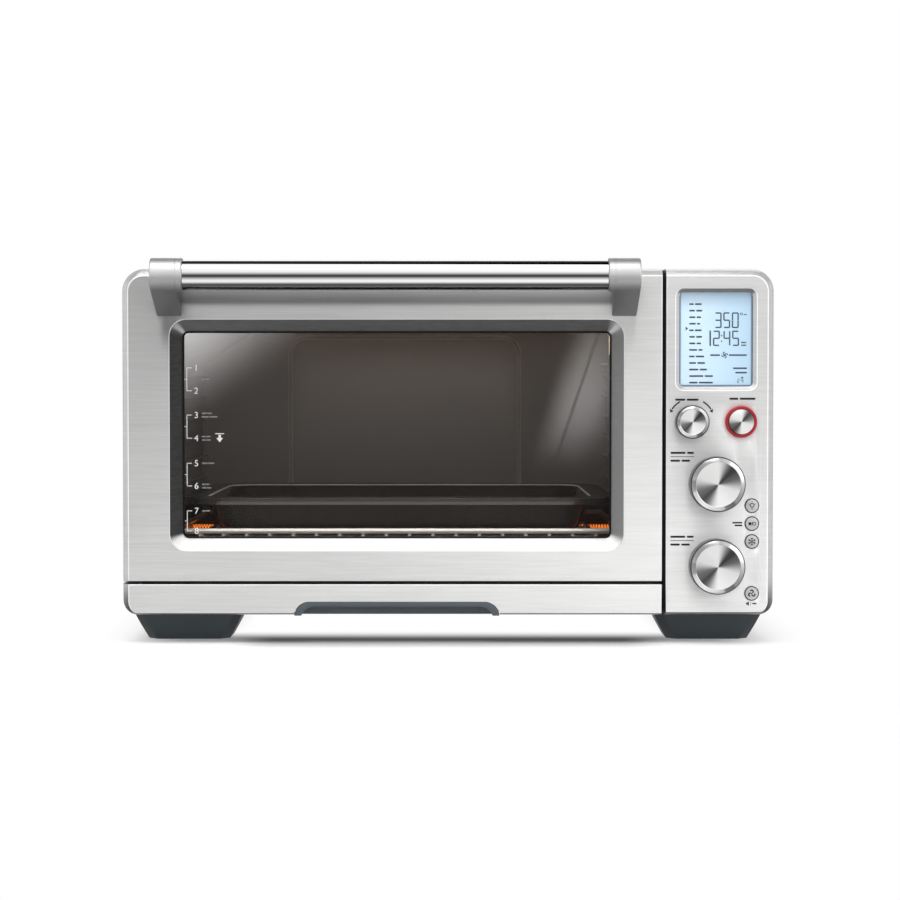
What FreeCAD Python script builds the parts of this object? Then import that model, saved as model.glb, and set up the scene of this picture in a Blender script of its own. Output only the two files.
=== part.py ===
import FreeCAD, Part
import math
import os

from FreeCAD import Vector

# Countertop convection oven with a drop-down glass door.
# Millimetres. +X right, +Y towards the wall behind, +Z up. The origin is on the
# surface it stands on, under the middle of the oven.

# Body
body_width = 549.0
overall_depth = 444.0
body_height = 289.7
foot_height = 25.5
sheet = 1.2
top_corner = 19.0
bottom_corner = 12.5

# Front panels: the door, the control panel and the crumb drawer front
panel_depth = 24.0
door_gap = 2.0
control_panel_width = 91.7
seam_width = 2.8
trim_width = 1.8
trim_setback = 1.5
strip_height = 24.7
strip_gap = 1.7
edge_band = 6.2
edge_depth = 13.0
bottom_band_share = 0.5
# The rolled edge, as shares of its band and its depth, from the face round to the side
edge_profile = ((1.0, 0.0), (0.35, 0.32), (0.0, 1.0))

# Clearances
seat = 0.3
running_fit = 0.05
panel_fit = 0.25
seal_gap = 0.8

# Door window
window_side_border = 9.5
window_low_border = 26.6
window_top_border = 42.9
window_corner = 14.5
recess_bevel = 9.5
recess_depth = 14.0
glass_thickness = 4.0
glass_lap = 7.0

# Handle
handle_overhang = 1.0
handle_reach = 38.0
handle_drop = 7.4
bar_radius = 12.35
collar_radius = 14.0
collar_width = 26.4
arm_width = 20.7
arm_foot = 34.7
arm_foot_drop = 5.5

# Door hinge: quadrant arms on the door, brackets with eyes on the frame
hinge_setback = 5.0
hinge_rise = 4.8
hinge_pin_radius = 1.8
hinge_eye_radius = 3.3
hinge_edge_round = 4.0
hinge_notch = 1.3
door_travel = 85.0
quadrant_radius = 50.0
quadrant_width = 8.0
quadrant_tail = 8.0
quadrant_flats = 14
pin_flats = 12
hinge_plate = 3.0
hinge_inset = 15.0
bracket_plate = 2.4
bracket_arm_height = 4.5
bracket_foot_height = 34.0
bracket_foot_width = 7.0

# Cavity
cavity_side_gap = 31.5
fan_chamber = 20.6
cavity_back_gap = 30.8
cavity_floor_rise = 36.2
cavity_roof_gap = 21.5
mouth_lap = 0.5
mouth_corner = 6.0
seal_width = 6.0
corner_flats = 4
frame_border = 8.3
rail_count = 8
rail_pitch = 19.66
rail_rise = 27.5
rail_width = 6.0
rail_height = 3.0
rail_lip = 1.4
rail_end_gap = 12.0
floor_opening_border = 30.0
boss_side_gap = 89.0
boss_end_gap = 32.0
boss_rise = 3.5
boss_corner = 14.0

# Quartz elements
tube_radius = 4.6
tube_bore = 3.6
tube_flats = 12
coil_radius = 2.6
tube_reach = 4.0
upper_tube_drop = 14.0
upper_tube_count = 4
upper_tube_margin = 54.0
lower_tube_rise = 19.7
lower_tube_front_gap = 70.0
lower_tube_back_gap = 84.0
cap_length = 9.0
cap_size = 13.0

# Convection fan on the right wall
fan_radius = 50.0
fan_hub_radius = 9.0
fan_depth = 10.0
fan_gap = 2.0
fan_blade_count = 12
fan_blade = 1.6
blade_lean = 20.0
blade_tip_gap = 3.0
fan_flats = 24
fan_hole_clear = 6.0
fan_cover_size = 136.0
fan_cover_rise = 5.5
fan_cover_corner = 16.5
fan_slot_rows = 6
fan_slot_height = 5.0
fan_slot_pitch = 15.0
shaft_radius = 3.0
motor_radius = 27.0
motor_length = 32.0
cooling_fan_radius = 33.0

# Rack and roasting pan
rack_margin = 3.0
rack_bar_radius = 2.5
rack_wire_radius = 1.4
rack_wire_pitch = 20.0
rack_wire_margin = 30.0
rack_setback = 16.0
rack_back_gap = 8.0
weld = 0.4
wire_flats = 6
pan_side_gap = 11.0
pan_front_gap = 24.0
pan_height = 30.0
pan_rim = 20.0
pan_rim_drop = 6.0
pan_taper = 8.0
pan_corner = 28.0
pan_foot = 5.0
pan_flats = 6
pan_wall = 1.5

# Crumb drawer and its finger grip
tray_margin = 5.0
tray_wall = 1.0
tray_height = 17.0
tray_back_gap = 31.2
tray_flange_rise = 3.6
grip_length = 173.0
grip_height = 9.6
grip_hang = 2.0
grip_slope = 12.0
grip_band = 3.8
grip_pocket = 15.0
# The grip's sloped ends: how much wider the band is there, and where their curve bulges
grip_side_share = 1.6
grip_bulge = (0.28, 0.62)

# Control panel
lcd_width = 61.8
lcd_corner = 3.8
lcd_top_border = 19.8
lcd_gap = 15.5
lcd_lip = 3.2
lcd_lip_depth = 3.0
lens_thickness = 2.0
lens_lap = 1.0
controls_center = 42.2
board_setback = 20.0
board_thickness = 1.6
board_half_width = 38.0
board_low_border = 8.0
board_top_border = 14.0
post_size = 5.0
dial_radius = 23.0
dial_face_radius = 19.4
dial_height = 18.0
dial_chamfer = 2.2
dial_flats = 40
dial_gap = 0.5
time_rise = 40.2
dial_spacing = 23.0
select_offset = -20.8
start_offset = 20.8
select_spacing = 15.0
select_radius = 14.0
select_face_radius = 11.4
select_height = 12.5
select_bevel = 1.6
select_travel = 1.2
select_flats = 30
start_radius = 10.4
start_travel = 1.5
start_proud = 5.5
ring_radius = 13.4
ring_height = 3.0
ring_flats = 24
button_radius = 5.7
button_proud = 1.2
button_travel = 1.0
button_flats = 20
button_offset = 30.2
light_button_drop = 18.5
button_pitch = 15.05
convection_button_drop = 23.3
encoder_size = 13.0
encoder_depth = 8.0
encoder_floor = 1.0
switch_block = 6.0
switch_block_depth = 1.5
stem_radius = 2.0

# Door switch
plunger_radius = 2.0
plunger_length = 9.0
plunger_inset = 12.0
plunger_drop = 22.0
switch_size = 12.0

# Feet, spacers and cord inlet
foot_inset = 52.5
foot_half_width = 47.5
foot_half_depth = 37.0
foot_flare = 12.6
foot_flare_depth = 8.8
foot_chamfer = 8.0
foot_setback = 64.0
spacer_length = 10.0
spacer_width = 40.0
spacer_height = 16.0
spacer_taper = 4.0
spacer_drop = 80.0
bush_radius = 8.0
bush_bore = 4.0
bush_length = 7.0
bush_rise = 80.0
bush_flats = 16

# Lamp and temperature sensor
lamp_window = 34.0
lamp_inset = 29.2
lamp_drop = 36.0
lamp_depth = 7.2
lamp_hollow = 4.8
bulb_radius = 2.4
bulb_length = 18.0
bulb_gap = 2.0
sensor_radius = 1.6
sensor_reach = 9.0
sensor_inset = 40.0
sensor_gap = 4.0
sensor_head = 7.2

# Vents
vent_width = 3.0
vent_height = 26.0
vent_pitch = 9.0
vent_count = 8
vent_drop = 40.0
vent_back_gap = 26.0

# Positions that follow from the sizes
half_width = body_width / 2
body_bottom = foot_height
body_top = body_bottom + body_height
base_top = body_bottom + sheet
rear_y = overall_depth / 2 - spacer_length
handle_y = -overall_depth / 2 + collar_radius
handle_z = body_top - handle_drop
front_y = handle_y + handle_reach
panel_back_y = front_y + panel_depth
frame_y = panel_back_y + door_gap
frame_back_y = frame_y + sheet
inner_panel_y = panel_back_y - sheet
panel_left_x = half_width - control_panel_width
door_right_x = panel_left_x - seam_width
divider_x = door_right_x - sheet
strip_top = body_bottom + strip_height
door_bottom = strip_top + strip_gap
hinge_y = front_y + hinge_setback
hinge_z = door_bottom + hinge_rise
hinge_edge_y = front_y + hinge_edge_round
hinge_edge_z = door_bottom + hinge_edge_round

cavity_left = -half_width + cavity_side_gap
cavity_right = divider_x - fan_chamber - sheet
cavity_width = cavity_right - cavity_left
cavity_back_y = rear_y - cavity_back_gap
cavity_depth = cavity_back_y - frame_back_y
cavity_floor = body_bottom + cavity_floor_rise
cavity_roof = body_top - cavity_roof_gap
cavity_height = cavity_roof - cavity_floor
cavity_middle_y = frame_back_y + cavity_depth / 2
cavity_middle_z = cavity_floor + cavity_height / 2
door_center_x = cavity_left + cavity_width / 2
lower_tube_z = cavity_floor + lower_tube_rise
upper_tube_z = cavity_roof - upper_tube_drop
fan_y = cavity_middle_y
fan_z = cavity_middle_z
fan_x = cavity_right + sheet + fan_gap
lamp_y = cavity_back_y - lamp_inset
lamp_z = cavity_roof - lamp_drop
sensor_y = cavity_back_y - sensor_inset
sensor_z = lamp_z - lamp_window / 2 - sensor_gap

window_width = cavity_width - 2 * window_side_border
window_height = body_top - window_top_border - door_bottom - window_low_border
window_z = door_bottom + window_low_border + window_height / 2
glass_width = window_width - 2 * recess_bevel
glass_height = window_height - 2 * recess_bevel
glass_corner = window_corner - recess_bevel
glass_y = front_y + recess_depth
handle_span = cavity_width + 2 * handle_overhang

rail_top = cavity_floor + rail_rise
rack_bar_z = rail_top + seat + rack_bar_radius
rack_wire_z = rack_bar_z - rack_bar_radius - rack_wire_radius + weld
rack_front_y = frame_back_y + rack_setback
rack_back_y = cavity_back_y - rack_back_gap
rack_wire_count = int((cavity_width - 2 * rack_wire_margin) // rack_wire_pitch) + 1
pan_bottom = rack_wire_z + rack_wire_radius + seat
pan_front_y = frame_back_y + pan_front_gap + pan_rim
pan_width = cavity_width - 2 * pan_side_gap - 2 * pan_rim
pan_depth = rack_back_y - pan_rim - pan_front_y
pan_center_y = pan_front_y + pan_depth / 2
tray_bottom = base_top + seat
tray_top = tray_bottom + tray_height

controls_x = panel_left_x + controls_center
board_y = front_y + board_setback
board_low = body_bottom + board_low_border
board_high = body_top - board_top_border
time_z = body_bottom + time_rise
temp_z = time_z + 2 * dial_radius + dial_spacing
select_z = temp_z + dial_radius + select_radius + select_spacing
lcd_low = select_z + select_radius + lcd_gap
lcd_height = body_top - lcd_top_border - lcd_low
lcd_z = lcd_low + lcd_height / 2
plunger_x = door_right_x - plunger_inset
plunger_z = body_top - plunger_drop
bush_x = panel_left_x + control_panel_width / 2
bush_z = body_bottom + bush_rise


def box(x0, x1, y0, y1, z0, z1):
    """Box between two corners."""
    return Part.makeBox(x1 - x0, y1 - y0, z1 - z0, Vector(x0, y0, z0))


def centered_box(x, y, z, width, depth, height):
    """Box about a middle point."""
    return box(x - width / 2, x + width / 2, y - depth / 2, y + depth / 2, z - height / 2, z + height / 2)


def along_x(x0, x1, y, z, radius):
    """Cylinder lying across the oven's width."""
    return Part.makeCylinder(radius, x1 - x0, Vector(x0, y, z), Vector(1, 0, 0))


def polygon_prism(start, direction, length, reach, sides):
    """Straight prism on a regular polygon whose corners lie at the given reach."""
    axis = Vector(*direction)
    up = Vector(1, 0, 0) if abs(axis.z) > 0.5 else Vector(0, 0, 1)
    across = axis.cross(up)
    points = []
    for index in range(sides):
        angle = (index + 0.5) * 2 * math.pi / sides
        points.append(Vector(*start) + across * (reach * math.cos(angle)) + up * (reach * math.sin(angle)))
    return Part.Face(Part.makePolygon(points + points[:1])).extrude(axis * length)


def bar(start, direction, length, radius, sides=8):
    """Small round bar cut as flats; its corners stay inside its true circle."""
    return polygon_prism(start, direction, length, radius, sides)


def hole(start, direction, length, radius, sides=8):
    """Small round hole cut as flats that stay outside its true circle, so a bar turns in it."""
    return polygon_prism(start, direction, length, radius / math.cos(math.pi / sides), sides)


def bar_x(x0, x1, y, z, radius, sides=8):
    return bar((x0, y, z), (1, 0, 0), x1 - x0, radius, sides)


def bar_y(x, y0, y1, z, radius, sides=8):
    return bar((x, y0, z), (0, 1, 0), y1 - y0, radius, sides)


def hole_x(x0, x1, y, z, radius, sides=8):
    return hole((x0, y, z), (1, 0, 0), x1 - x0, radius, sides)


def hole_y(x, y0, y1, z, radius, sides=8):
    return hole((x, y0, z), (0, 1, 0), y1 - y0, radius, sides)


def stacked(rings):
    """Solid through rings of points, with flat faces between each two rings."""
    count = len(rings[0])
    loops = [rings[0][::-1], rings[-1]]
    for low, high in zip(rings, rings[1:]):
        for index in range(count):
            following = (index + 1) % count
            loops.append([low[index], low[following], high[following], high[index]])
    faces = [Part.Face(Part.makePolygon(loop + loop[:1])) for loop in loops]
    solid = Part.Solid(Part.Shell(faces))
    if solid.Volume < 0:
        solid.reverse()
    return solid


def fuse(shapes):
    """One solid from pieces that overlap or touch."""
    shapes = list(shapes)
    if len(shapes) == 1:
        return shapes[0]
    return shapes[0].multiFuse(shapes[1:]).removeSplitter()


def group(shapes):
    """Separate solids kept together in one node."""
    return Part.makeCompound(list(shapes))


def mirrored(shape):
    """The shape's twin about the door's middle plane."""
    return shape.mirror(Vector(door_center_x, 0, 0), Vector(1, 0, 0))


def corner_arc(x, z, y, radius, start_degrees):
    """Quarter circle in an upright plane at depth y."""
    points = []
    for turn in (0, 45, 90):
        angle = math.radians(start_degrees + turn)
        points.append(Vector(x + radius * math.cos(angle), y, z + radius * math.sin(angle)))
    return Part.Arc(*points)


def upright_wire(x0, x1, z0, z1, y, low_radius, high_radius):
    """Rectangle with rounded corners in an upright plane, lower and upper radii apart."""
    arcs = [
        corner_arc(x0 + low_radius, z0 + low_radius, y, low_radius, 180),
        corner_arc(x1 - low_radius, z0 + low_radius, y, low_radius, 270),
        corner_arc(x1 - high_radius, z1 - high_radius, y, high_radius, 0),
        corner_arc(x0 + high_radius, z1 - high_radius, y, high_radius, 90),
    ]
    edges = []
    for index, arc in enumerate(arcs):
        following = arcs[(index + 1) % len(arcs)]
        edges.append(arc.toShape())
        edges.append(Part.LineSegment(arc.EndPoint, following.StartPoint).toShape())
    return Part.Wire(edges)


def rounded_wire(x, z, width, height, corner, y):
    """Rounded rectangle about a middle point, in an upright plane."""
    return upright_wire(x - width / 2, x + width / 2, z - height / 2, z + height / 2, y, corner, corner)


def rounded_plate(x, z, width, height, corner, y0, y1):
    """Flat plate with rounded corners, upright, between two depths."""
    face = Part.Face(rounded_wire(x, z, width, height, corner, y0))
    return face.extrude(Vector(0, y1 - y0, 0))


def ring_points(width, height, corner, flats):
    """Rounded rectangle about the origin as points, with each corner cut in a few flats."""
    points = []
    for turn, (side, rise) in enumerate(((1, 1), (-1, 1), (-1, -1), (1, -1))):
        for step in range(flats + 1):
            angle = math.pi / 2 * (turn + step / flats)
            across = side * (width / 2 - corner) + corner * math.cos(angle)
            up = rise * (height / 2 - corner) + corner * math.sin(angle)
            points.append((across, up))
    return points


def level_ring(x, y, width, depth, corner, z, flats):
    """Rounded rectangle lying level at height z."""
    return [Vector(x + a, y + b, z) for a, b in ring_points(width, depth, corner, flats)]


def upright_ring(x, z, width, height, corner, y, flats):
    """Rounded rectangle standing upright at depth y."""
    return [Vector(x + a, y, z + b) for a, b in ring_points(width, height, corner, flats)]


def side_ring(y, z, width, height, corner, x, flats):
    """Rounded rectangle in a plane across the oven's width."""
    return [Vector(x, y + a, z + b) for a, b in ring_points(width, height, corner, flats)]


def body_wire(y, inset, low_inset):
    """Outline of the whole front or body at depth y, drawn in from its full size."""
    return upright_wire(
        -half_width + inset,
        half_width - inset,
        body_bottom + low_inset,
        body_top - inset,
        y,
        bottom_corner - low_inset,
        top_corner - inset,
    )


def body_prism(y0, y1, inset):
    """Straight length of the body outline."""
    return Part.Face(body_wire(y0, inset, inset)).extrude(Vector(0, y1 - y0, 0))


def front_form(inward, back_y=panel_back_y):
    """Block with the curved front edge that door, drawer front and control panel share."""
    wires = []
    for share, depth_share in edge_profile:
        inset = edge_band * share
        depth = edge_depth * depth_share + inward * (1 - depth_share)
        wires.append(body_wire(front_y + depth, inset + inward, inset * bottom_band_share + inward))
    block = Part.makeLoft(wires, True, True)
    return block.fuse(body_prism(front_y + edge_depth, back_y, inward))


def funnel(x, z, outer, inner, y0, y1):
    """Tapered block between two rounded rectangles, each given as width, height and corner."""
    wires = [rounded_wire(x, z, *outer, y0), rounded_wire(x, z, *inner, y1)]
    return Part.makeLoft(wires, True, True)


def plain_funnel(x, z, outer, inner, y0, y1):
    """The same block with its corners cut in flats, for a small or covered one."""
    rings = [(outer, y0), (inner, y1)]
    return stacked([upright_ring(x, z, *size, y, corner_flats) for size, y in rings])


def door_region(skin):
    """Space that the door fills, drawn in by a skin on its cut sides."""
    far = body_width
    block = box(-far, door_right_x - skin, front_y - far, rear_y, door_bottom + skin, far)
    edge = hinge_edge_round - skin
    low_front = box(-far, far, front_y - far, hinge_edge_y, 0, hinge_edge_z)
    return block.cut(low_front.cut(along_x(-far, far, hinge_edge_y, hinge_edge_z, edge)))


def bracket_x(side):
    """Left edge of a hinge bracket plate; side is -1 on the left and 1 on the right."""
    arm_x = quadrant_x(side)
    if side < 0:
        return arm_x - seat - bracket_plate
    return arm_x + hinge_plate + seat


def quadrant_x(side):
    """Left edge of a quadrant arm."""
    if side < 0:
        return -half_width + hinge_inset
    return door_right_x - hinge_inset + sheet


def bracket_notches():
    """Room in the door for the two hinge brackets over the whole swing."""
    cuts = []
    for side in (-1, 1):
        left = bracket_x(side) - seat
        right = left + bracket_plate + 2 * seat
        top = hinge_z + bracket_arm_height + 2 * seat
        cuts.append(box(left, right, hinge_y - hinge_notch, panel_back_y + 1, door_bottom - 1, top))
    return cuts


def door_panel():
    shell = front_form(0).common(door_region(0))
    shell = shell.cut(front_form(sheet).common(door_region(sheet)))
    wall = plain_funnel(
        door_center_x, window_z,
        (window_width + 2 * sheet, window_height + 2 * sheet, window_corner + sheet),
        (glass_width + 2 * sheet, glass_height + 2 * sheet, glass_corner + sheet),
        front_y, glass_y,
    )
    opening = funnel(
        door_center_x, window_z,
        (window_width, window_height, window_corner),
        (glass_width, glass_height, glass_corner),
        front_y, glass_y,
    )
    return fuse([shell, wall]).cut(fuse([opening] + bracket_notches()))


def glass_block(y0, y1):
    """Block over the pane, which laps behind the edge of the window."""
    return centered_box(
        door_center_x, (y0 + y1) / 2, window_z, glass_width + 2 * glass_lap, y1 - y0,
        glass_height + 2 * glass_lap,
    )


def door_glass():
    return glass_block(glass_y, glass_y + glass_thickness)


def glass_seal():
    y0 = glass_y + glass_thickness
    outer = glass_block(y0, inner_panel_y)
    inner = rounded_plate(
        door_center_x, window_z, glass_width + sheet, glass_height + sheet, glass_corner, y0, inner_panel_y,
    )
    return outer.cut(inner)


def quadrant_slot(side, y0, y1):
    """Slot that a quadrant arm passes through, as high as the arc needs between two depths."""
    reach = [quadrant_radius - quadrant_width / 2 - seat * 2, quadrant_radius + quadrant_width / 2 + seat * 2]
    low = hinge_z + math.sqrt(reach[0] ** 2 - (y1 - hinge_y) ** 2)
    high = hinge_z + math.sqrt(reach[1] ** 2 - (y0 - hinge_y) ** 2)
    left = quadrant_x(side) - 2 * seat
    return box(left, left + hinge_plate + 4 * seat, y0 - 1, y1 + 1, low, high)


def door_inner_panel():
    outline = body_prism(inner_panel_y, panel_back_y, sheet + panel_fit)
    plate = outline.common(door_region(sheet + panel_fit))
    opening = rounded_plate(
        door_center_x, window_z, glass_width, glass_height, glass_corner, inner_panel_y, panel_back_y,
    )
    slots = [quadrant_slot(side, inner_panel_y, panel_back_y) for side in (-1, 1)]
    return plate.cut(fuse([opening] + bracket_notches() + slots))


def tangent_point(y, z, upper):
    """Where the line from a point on the door face touches the collar circle."""
    dy = y - handle_y
    dz = z - handle_z
    distance = math.hypot(dy, dz)
    base = math.atan2(dz, dy)
    spread = math.acos(collar_radius / distance)
    angle = base + spread if upper else base - spread
    return Vector(0, handle_y + collar_radius * math.cos(angle), handle_z + collar_radius * math.sin(angle))


def handle_bracket():
    """Left bracket: a collar round the bar on an arm that leans back to the door."""
    left = door_center_x - handle_span / 2
    foot_top = body_top - arm_foot_drop
    foot_low = foot_top - arm_foot
    high = tangent_point(front_y, foot_top, True)
    low = tangent_point(front_y, foot_low, False)
    front = Vector(0, handle_y - collar_radius, handle_z)
    corners = [Vector(0, front_y, foot_low), Vector(0, front_y, foot_top)]
    edges = [
        Part.LineSegment(low, corners[0]).toShape(),
        Part.LineSegment(corners[0], corners[1]).toShape(),
        Part.LineSegment(corners[1], high).toShape(),
        Part.Arc(high, front, low).toShape(),
    ]
    arm = Part.Face(Part.Wire(edges)).extrude(Vector(arm_width, 0, 0))
    arm.translate(Vector(left, 0, 0))
    collar = along_x(left, left + collar_width, handle_y, handle_z, collar_radius)
    return fuse([arm, collar])


def handle_bar():
    """Round bar that seats between the two collars."""
    left = door_center_x - handle_span / 2 + collar_width
    return along_x(left, left + handle_span - 2 * collar_width, handle_y, handle_z, bar_radius)


def hinge_arm(side):
    """Quadrant arm: a plate inside the door, an arc into the body, and the hinge pin."""
    left = quadrant_x(side)
    inner = quadrant_radius - quadrant_width / 2
    outer = quadrant_radius + quadrant_width / 2
    start = math.degrees(math.asin((inner_panel_y - sheet - hinge_y) / outer))
    in_slot = math.degrees(math.asin((frame_back_y - hinge_y) / inner))
    sweep = in_slot + door_travel + quadrant_tail - start
    points = []
    for radius, order in ((inner, 1), (outer, -1)):
        for step in range(quadrant_flats + 1)[::order]:
            angle = math.radians(start + sweep * step / quadrant_flats)
            y = hinge_y + radius * math.sin(angle)
            points.append(Vector(left, y, hinge_z + radius * math.cos(angle)))
    arc = Part.Face(Part.makePolygon(points + points[:1])).extrude(Vector(hinge_plate, 0, 0))
    margin = hinge_edge_round - hinge_pin_radius
    plate = box(left, left + hinge_plate, hinge_y - margin, inner_panel_y, hinge_z - margin, hinge_z + outer)
    reach = 2 * seat + bracket_plate
    pin_start = left - reach if side < 0 else left + hinge_plate
    pin = bar_x(pin_start, pin_start + reach, hinge_y, hinge_z, hinge_pin_radius, pin_flats)
    return fuse([plate, arc, pin])


def hinge_bracket(side):
    """Bracket behind the frame with an eye that carries the door's pin."""
    left = bracket_x(side)
    right = left + bracket_plate
    arm = box(left, right, hinge_y, frame_back_y + sheet, hinge_z, hinge_z + bracket_arm_height)
    eye = bar_x(left, right, hinge_y, hinge_z, hinge_eye_radius, pin_flats)
    bore = hole_x(left, right, hinge_y, hinge_z, hinge_pin_radius + running_fit, pin_flats)
    foot_left = left if side > 0 else right - bracket_foot_width
    foot = box(
        foot_left, foot_left + bracket_foot_width, frame_back_y, frame_back_y + sheet,
        hinge_z - bracket_arm_height, hinge_z + bracket_foot_height,
    )
    return fuse([arm, eye, foot]).cut(bore)


def vent_steps(count, pitch):
    """Offsets of equal slots about the middle of their row."""
    return [(index - (count - 1) / 2) * pitch for index in range(count)]


def side_vents():
    """Upright slots near the top and the bottom of both sides, towards the back."""
    middle_y = rear_y - vent_back_gap - vent_count * vent_pitch / 2
    slots = []
    for z in (body_top - vent_drop, body_bottom + vent_drop):
        for x in (-half_width, half_width):
            for step in vent_steps(vent_count, vent_pitch):
                slots.append(centered_box(x, middle_y + step, z, 6 * sheet, vent_width, vent_height))
    return slots


def outer_cover():
    tube = body_prism(frame_y, rear_y - sheet, 0)
    tube = tube.cut(body_prism(frame_y - 1, rear_y, sheet))
    flat = half_width - bottom_corner
    underside = box(-flat, flat, frame_y - 1, rear_y, body_bottom - 1, base_top)
    return tube.cut(group([underside] + side_vents()))


def base_plate():
    """Bottom of the body, slotted under the controls."""
    flat = half_width - bottom_corner
    plate = box(-flat, flat, frame_y, rear_y - sheet, body_bottom, base_top)
    middle_x = panel_left_x + control_panel_width / 2
    slots = []
    for step in vent_steps(vent_count, 2 * vent_pitch):
        y = cavity_middle_y + step
        slots.append(centered_box(middle_x, y, body_bottom, control_panel_width / 2, vent_width, 4 * sheet))
    return plate.cut(group(slots))


def rear_cover():
    """Back of the body with slots behind the cavity and the controls, and the cord inlet."""
    plate = body_prism(rear_y - sheet, rear_y, 0)
    slots = []
    for x, count in ((door_center_x, vent_count), (bush_x, vent_count // 2)):
        for step in vent_steps(count, vent_pitch):
            z = body_top - vent_drop
            slots.append(centered_box(x + step, rear_y, z, vent_width, 6 * sheet, vent_height))
    inlet = hole_y(bush_x, rear_y - 2 * sheet, rear_y + sheet, bush_z, bush_radius - sheet, bush_flats)
    return plate.cut(group(slots + [inlet]))


def cord_bush():
    """Inlet bush: a collar outside and a neck through the rear cover."""
    collar = bar_y(bush_x, rear_y, rear_y + bush_length, bush_z, bush_radius, bush_flats)
    neck_radius = bush_radius - sheet - running_fit
    neck = bar_y(bush_x, rear_y - 2 * sheet, rear_y, bush_z, neck_radius, bush_flats)
    bore = hole_y(bush_x, rear_y - 2 * sheet, rear_y + bush_length, bush_z, bush_bore)
    return fuse([collar, neck]).cut(bore)


def rear_spacers():
    """Two tapered posts that keep the back away from the wall."""
    posts = []
    z = body_top - spacer_drop
    for x in (-half_width / 2, half_width / 2):
        rings = []
        for y, draw_in in ((rear_y, 0), (rear_y + spacer_length, spacer_taper)):
            half_x = spacer_width / 2 - draw_in
            half_z = spacer_height / 2 - draw_in
            signs = ((-1, -1), (-1, 1), (1, 1), (1, -1))
            rings.append([Vector(x + a * half_x, y, z + b * half_z) for a, b in signs])
        posts.append(stacked(rings))
    return group(posts)


def foot_ring(x, y, z, across, along):
    """Chamfered rectangle at height z."""
    cut = foot_chamfer
    corners = []
    for a, b in ((1, 1), (-1, 1), (-1, -1), (1, -1)):
        pair = [(a * across, b * (along - cut)), (a * (across - cut), b * along)]
        corners += pair[::a * b]
    return [Vector(x + a, y + b, z) for a, b in corners]


def feet(y):
    """Two flared feet with chamfered corners."""
    made = []
    for x in (-half_width + foot_inset, half_width - foot_inset):
        top = foot_ring(x, y, foot_height, foot_half_width, foot_half_depth)
        across = foot_half_width - foot_flare
        along = foot_half_depth - foot_flare_depth
        made.append(stacked([top, foot_ring(x, y, 0, across, along)]))
    return group(made)


def mouth_plate(border, y0, y1):
    """Rounded block over the cavity mouth, larger by a border."""
    width = cavity_width - 2 * mouth_lap + 2 * border
    height = cavity_height - 2 * mouth_lap + 2 * border
    size = (width, height, mouth_corner + border)
    return plain_funnel(door_center_x, cavity_middle_z, size, size, y0, y1)


def front_frame():
    plate = body_prism(frame_y, frame_back_y, sheet)
    mouth = mouth_plate(0, frame_y, frame_back_y)
    drawer = box(cavity_left, cavity_right, frame_y, frame_back_y, body_bottom, tray_top + 3 * seat)
    controls = box(
        panel_left_x + sheet, half_width - frame_border, frame_y, frame_back_y,
        body_bottom + bottom_corner, body_top - top_corner,
    )
    arms = [quadrant_slot(side, frame_y, frame_back_y) for side in (-1, 1)]
    brackets = []
    for side in (-1, 1):
        left = bracket_x(side) - seat
        right = left + bracket_plate + 2 * seat
        top = hinge_z + bracket_arm_height + seat
        brackets.append(box(left, right, frame_y, frame_back_y, hinge_z - seat, top))
    plunger_hole = hole_y(plunger_x, frame_y, frame_back_y, plunger_z, plunger_radius + seat)
    return plate.cut(group([mouth, drawer, controls, plunger_hole] + arms + brackets))


def door_seal():
    """Seal round the mouth, clear of the door's lower edge as it swings."""
    back = frame_y
    front = panel_back_y + seal_gap
    return mouth_plate(seal_width, front, back).cut(mouth_plate(0, front, back))


def rail_rows(wall_x, inward):
    """Pressed rails for the rack, one for each level."""
    rails = []
    for level in range(rail_count):
        top = rail_top + level * rail_pitch
        profile = [
            (wall_x, top),
            (wall_x + inward * rail_width, top),
            (wall_x + inward * rail_width, top - rail_lip),
            (wall_x, top - rail_height),
        ]
        points = [Vector(x, frame_back_y + rail_end_gap, z) for x, z in profile]
        face = Part.Face(Part.makePolygon(points + points[:1]))
        rails.append(face.extrude(Vector(0, cavity_depth - 2 * rail_end_gap, 0)))
    return rails


def tube_places():
    """Depth and height of each quartz tube."""
    places = []
    pitch = (cavity_depth - 2 * upper_tube_margin) / (upper_tube_count - 1)
    for index in range(upper_tube_count):
        places.append((frame_back_y + upper_tube_margin + index * pitch, upper_tube_z))
    places.append((frame_back_y + lower_tube_front_gap, lower_tube_z))
    places.append((cavity_back_y - lower_tube_back_gap, lower_tube_z))
    return places


def tube_holes(x0, x1):
    return [hole_x(x0, x1, y, z, tube_radius + seat) for y, z in tube_places()]


def side_wall(x, inward):
    """Upright cavity wall with its rails; x is its inner face."""
    left = x - sheet if inward > 0 else x
    low = cavity_floor - sheet
    wall = box(left, left + sheet, frame_back_y, cavity_back_y + sheet, low, cavity_roof + sheet)
    return fuse([wall] + rail_rows(x, inward))


def cavity_left_wall():
    wall = side_wall(cavity_left, 1)
    return wall.cut(group(tube_holes(cavity_left - 2 * sheet, cavity_left + rail_width)))


def lamp_hole(margin):
    """Square hole behind the lamp's glass, smaller than it by a margin all round."""
    size = lamp_window - 2 * margin
    return centered_box(cavity_right, lamp_y, lamp_z, 4 * rail_width, size, size)


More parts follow.
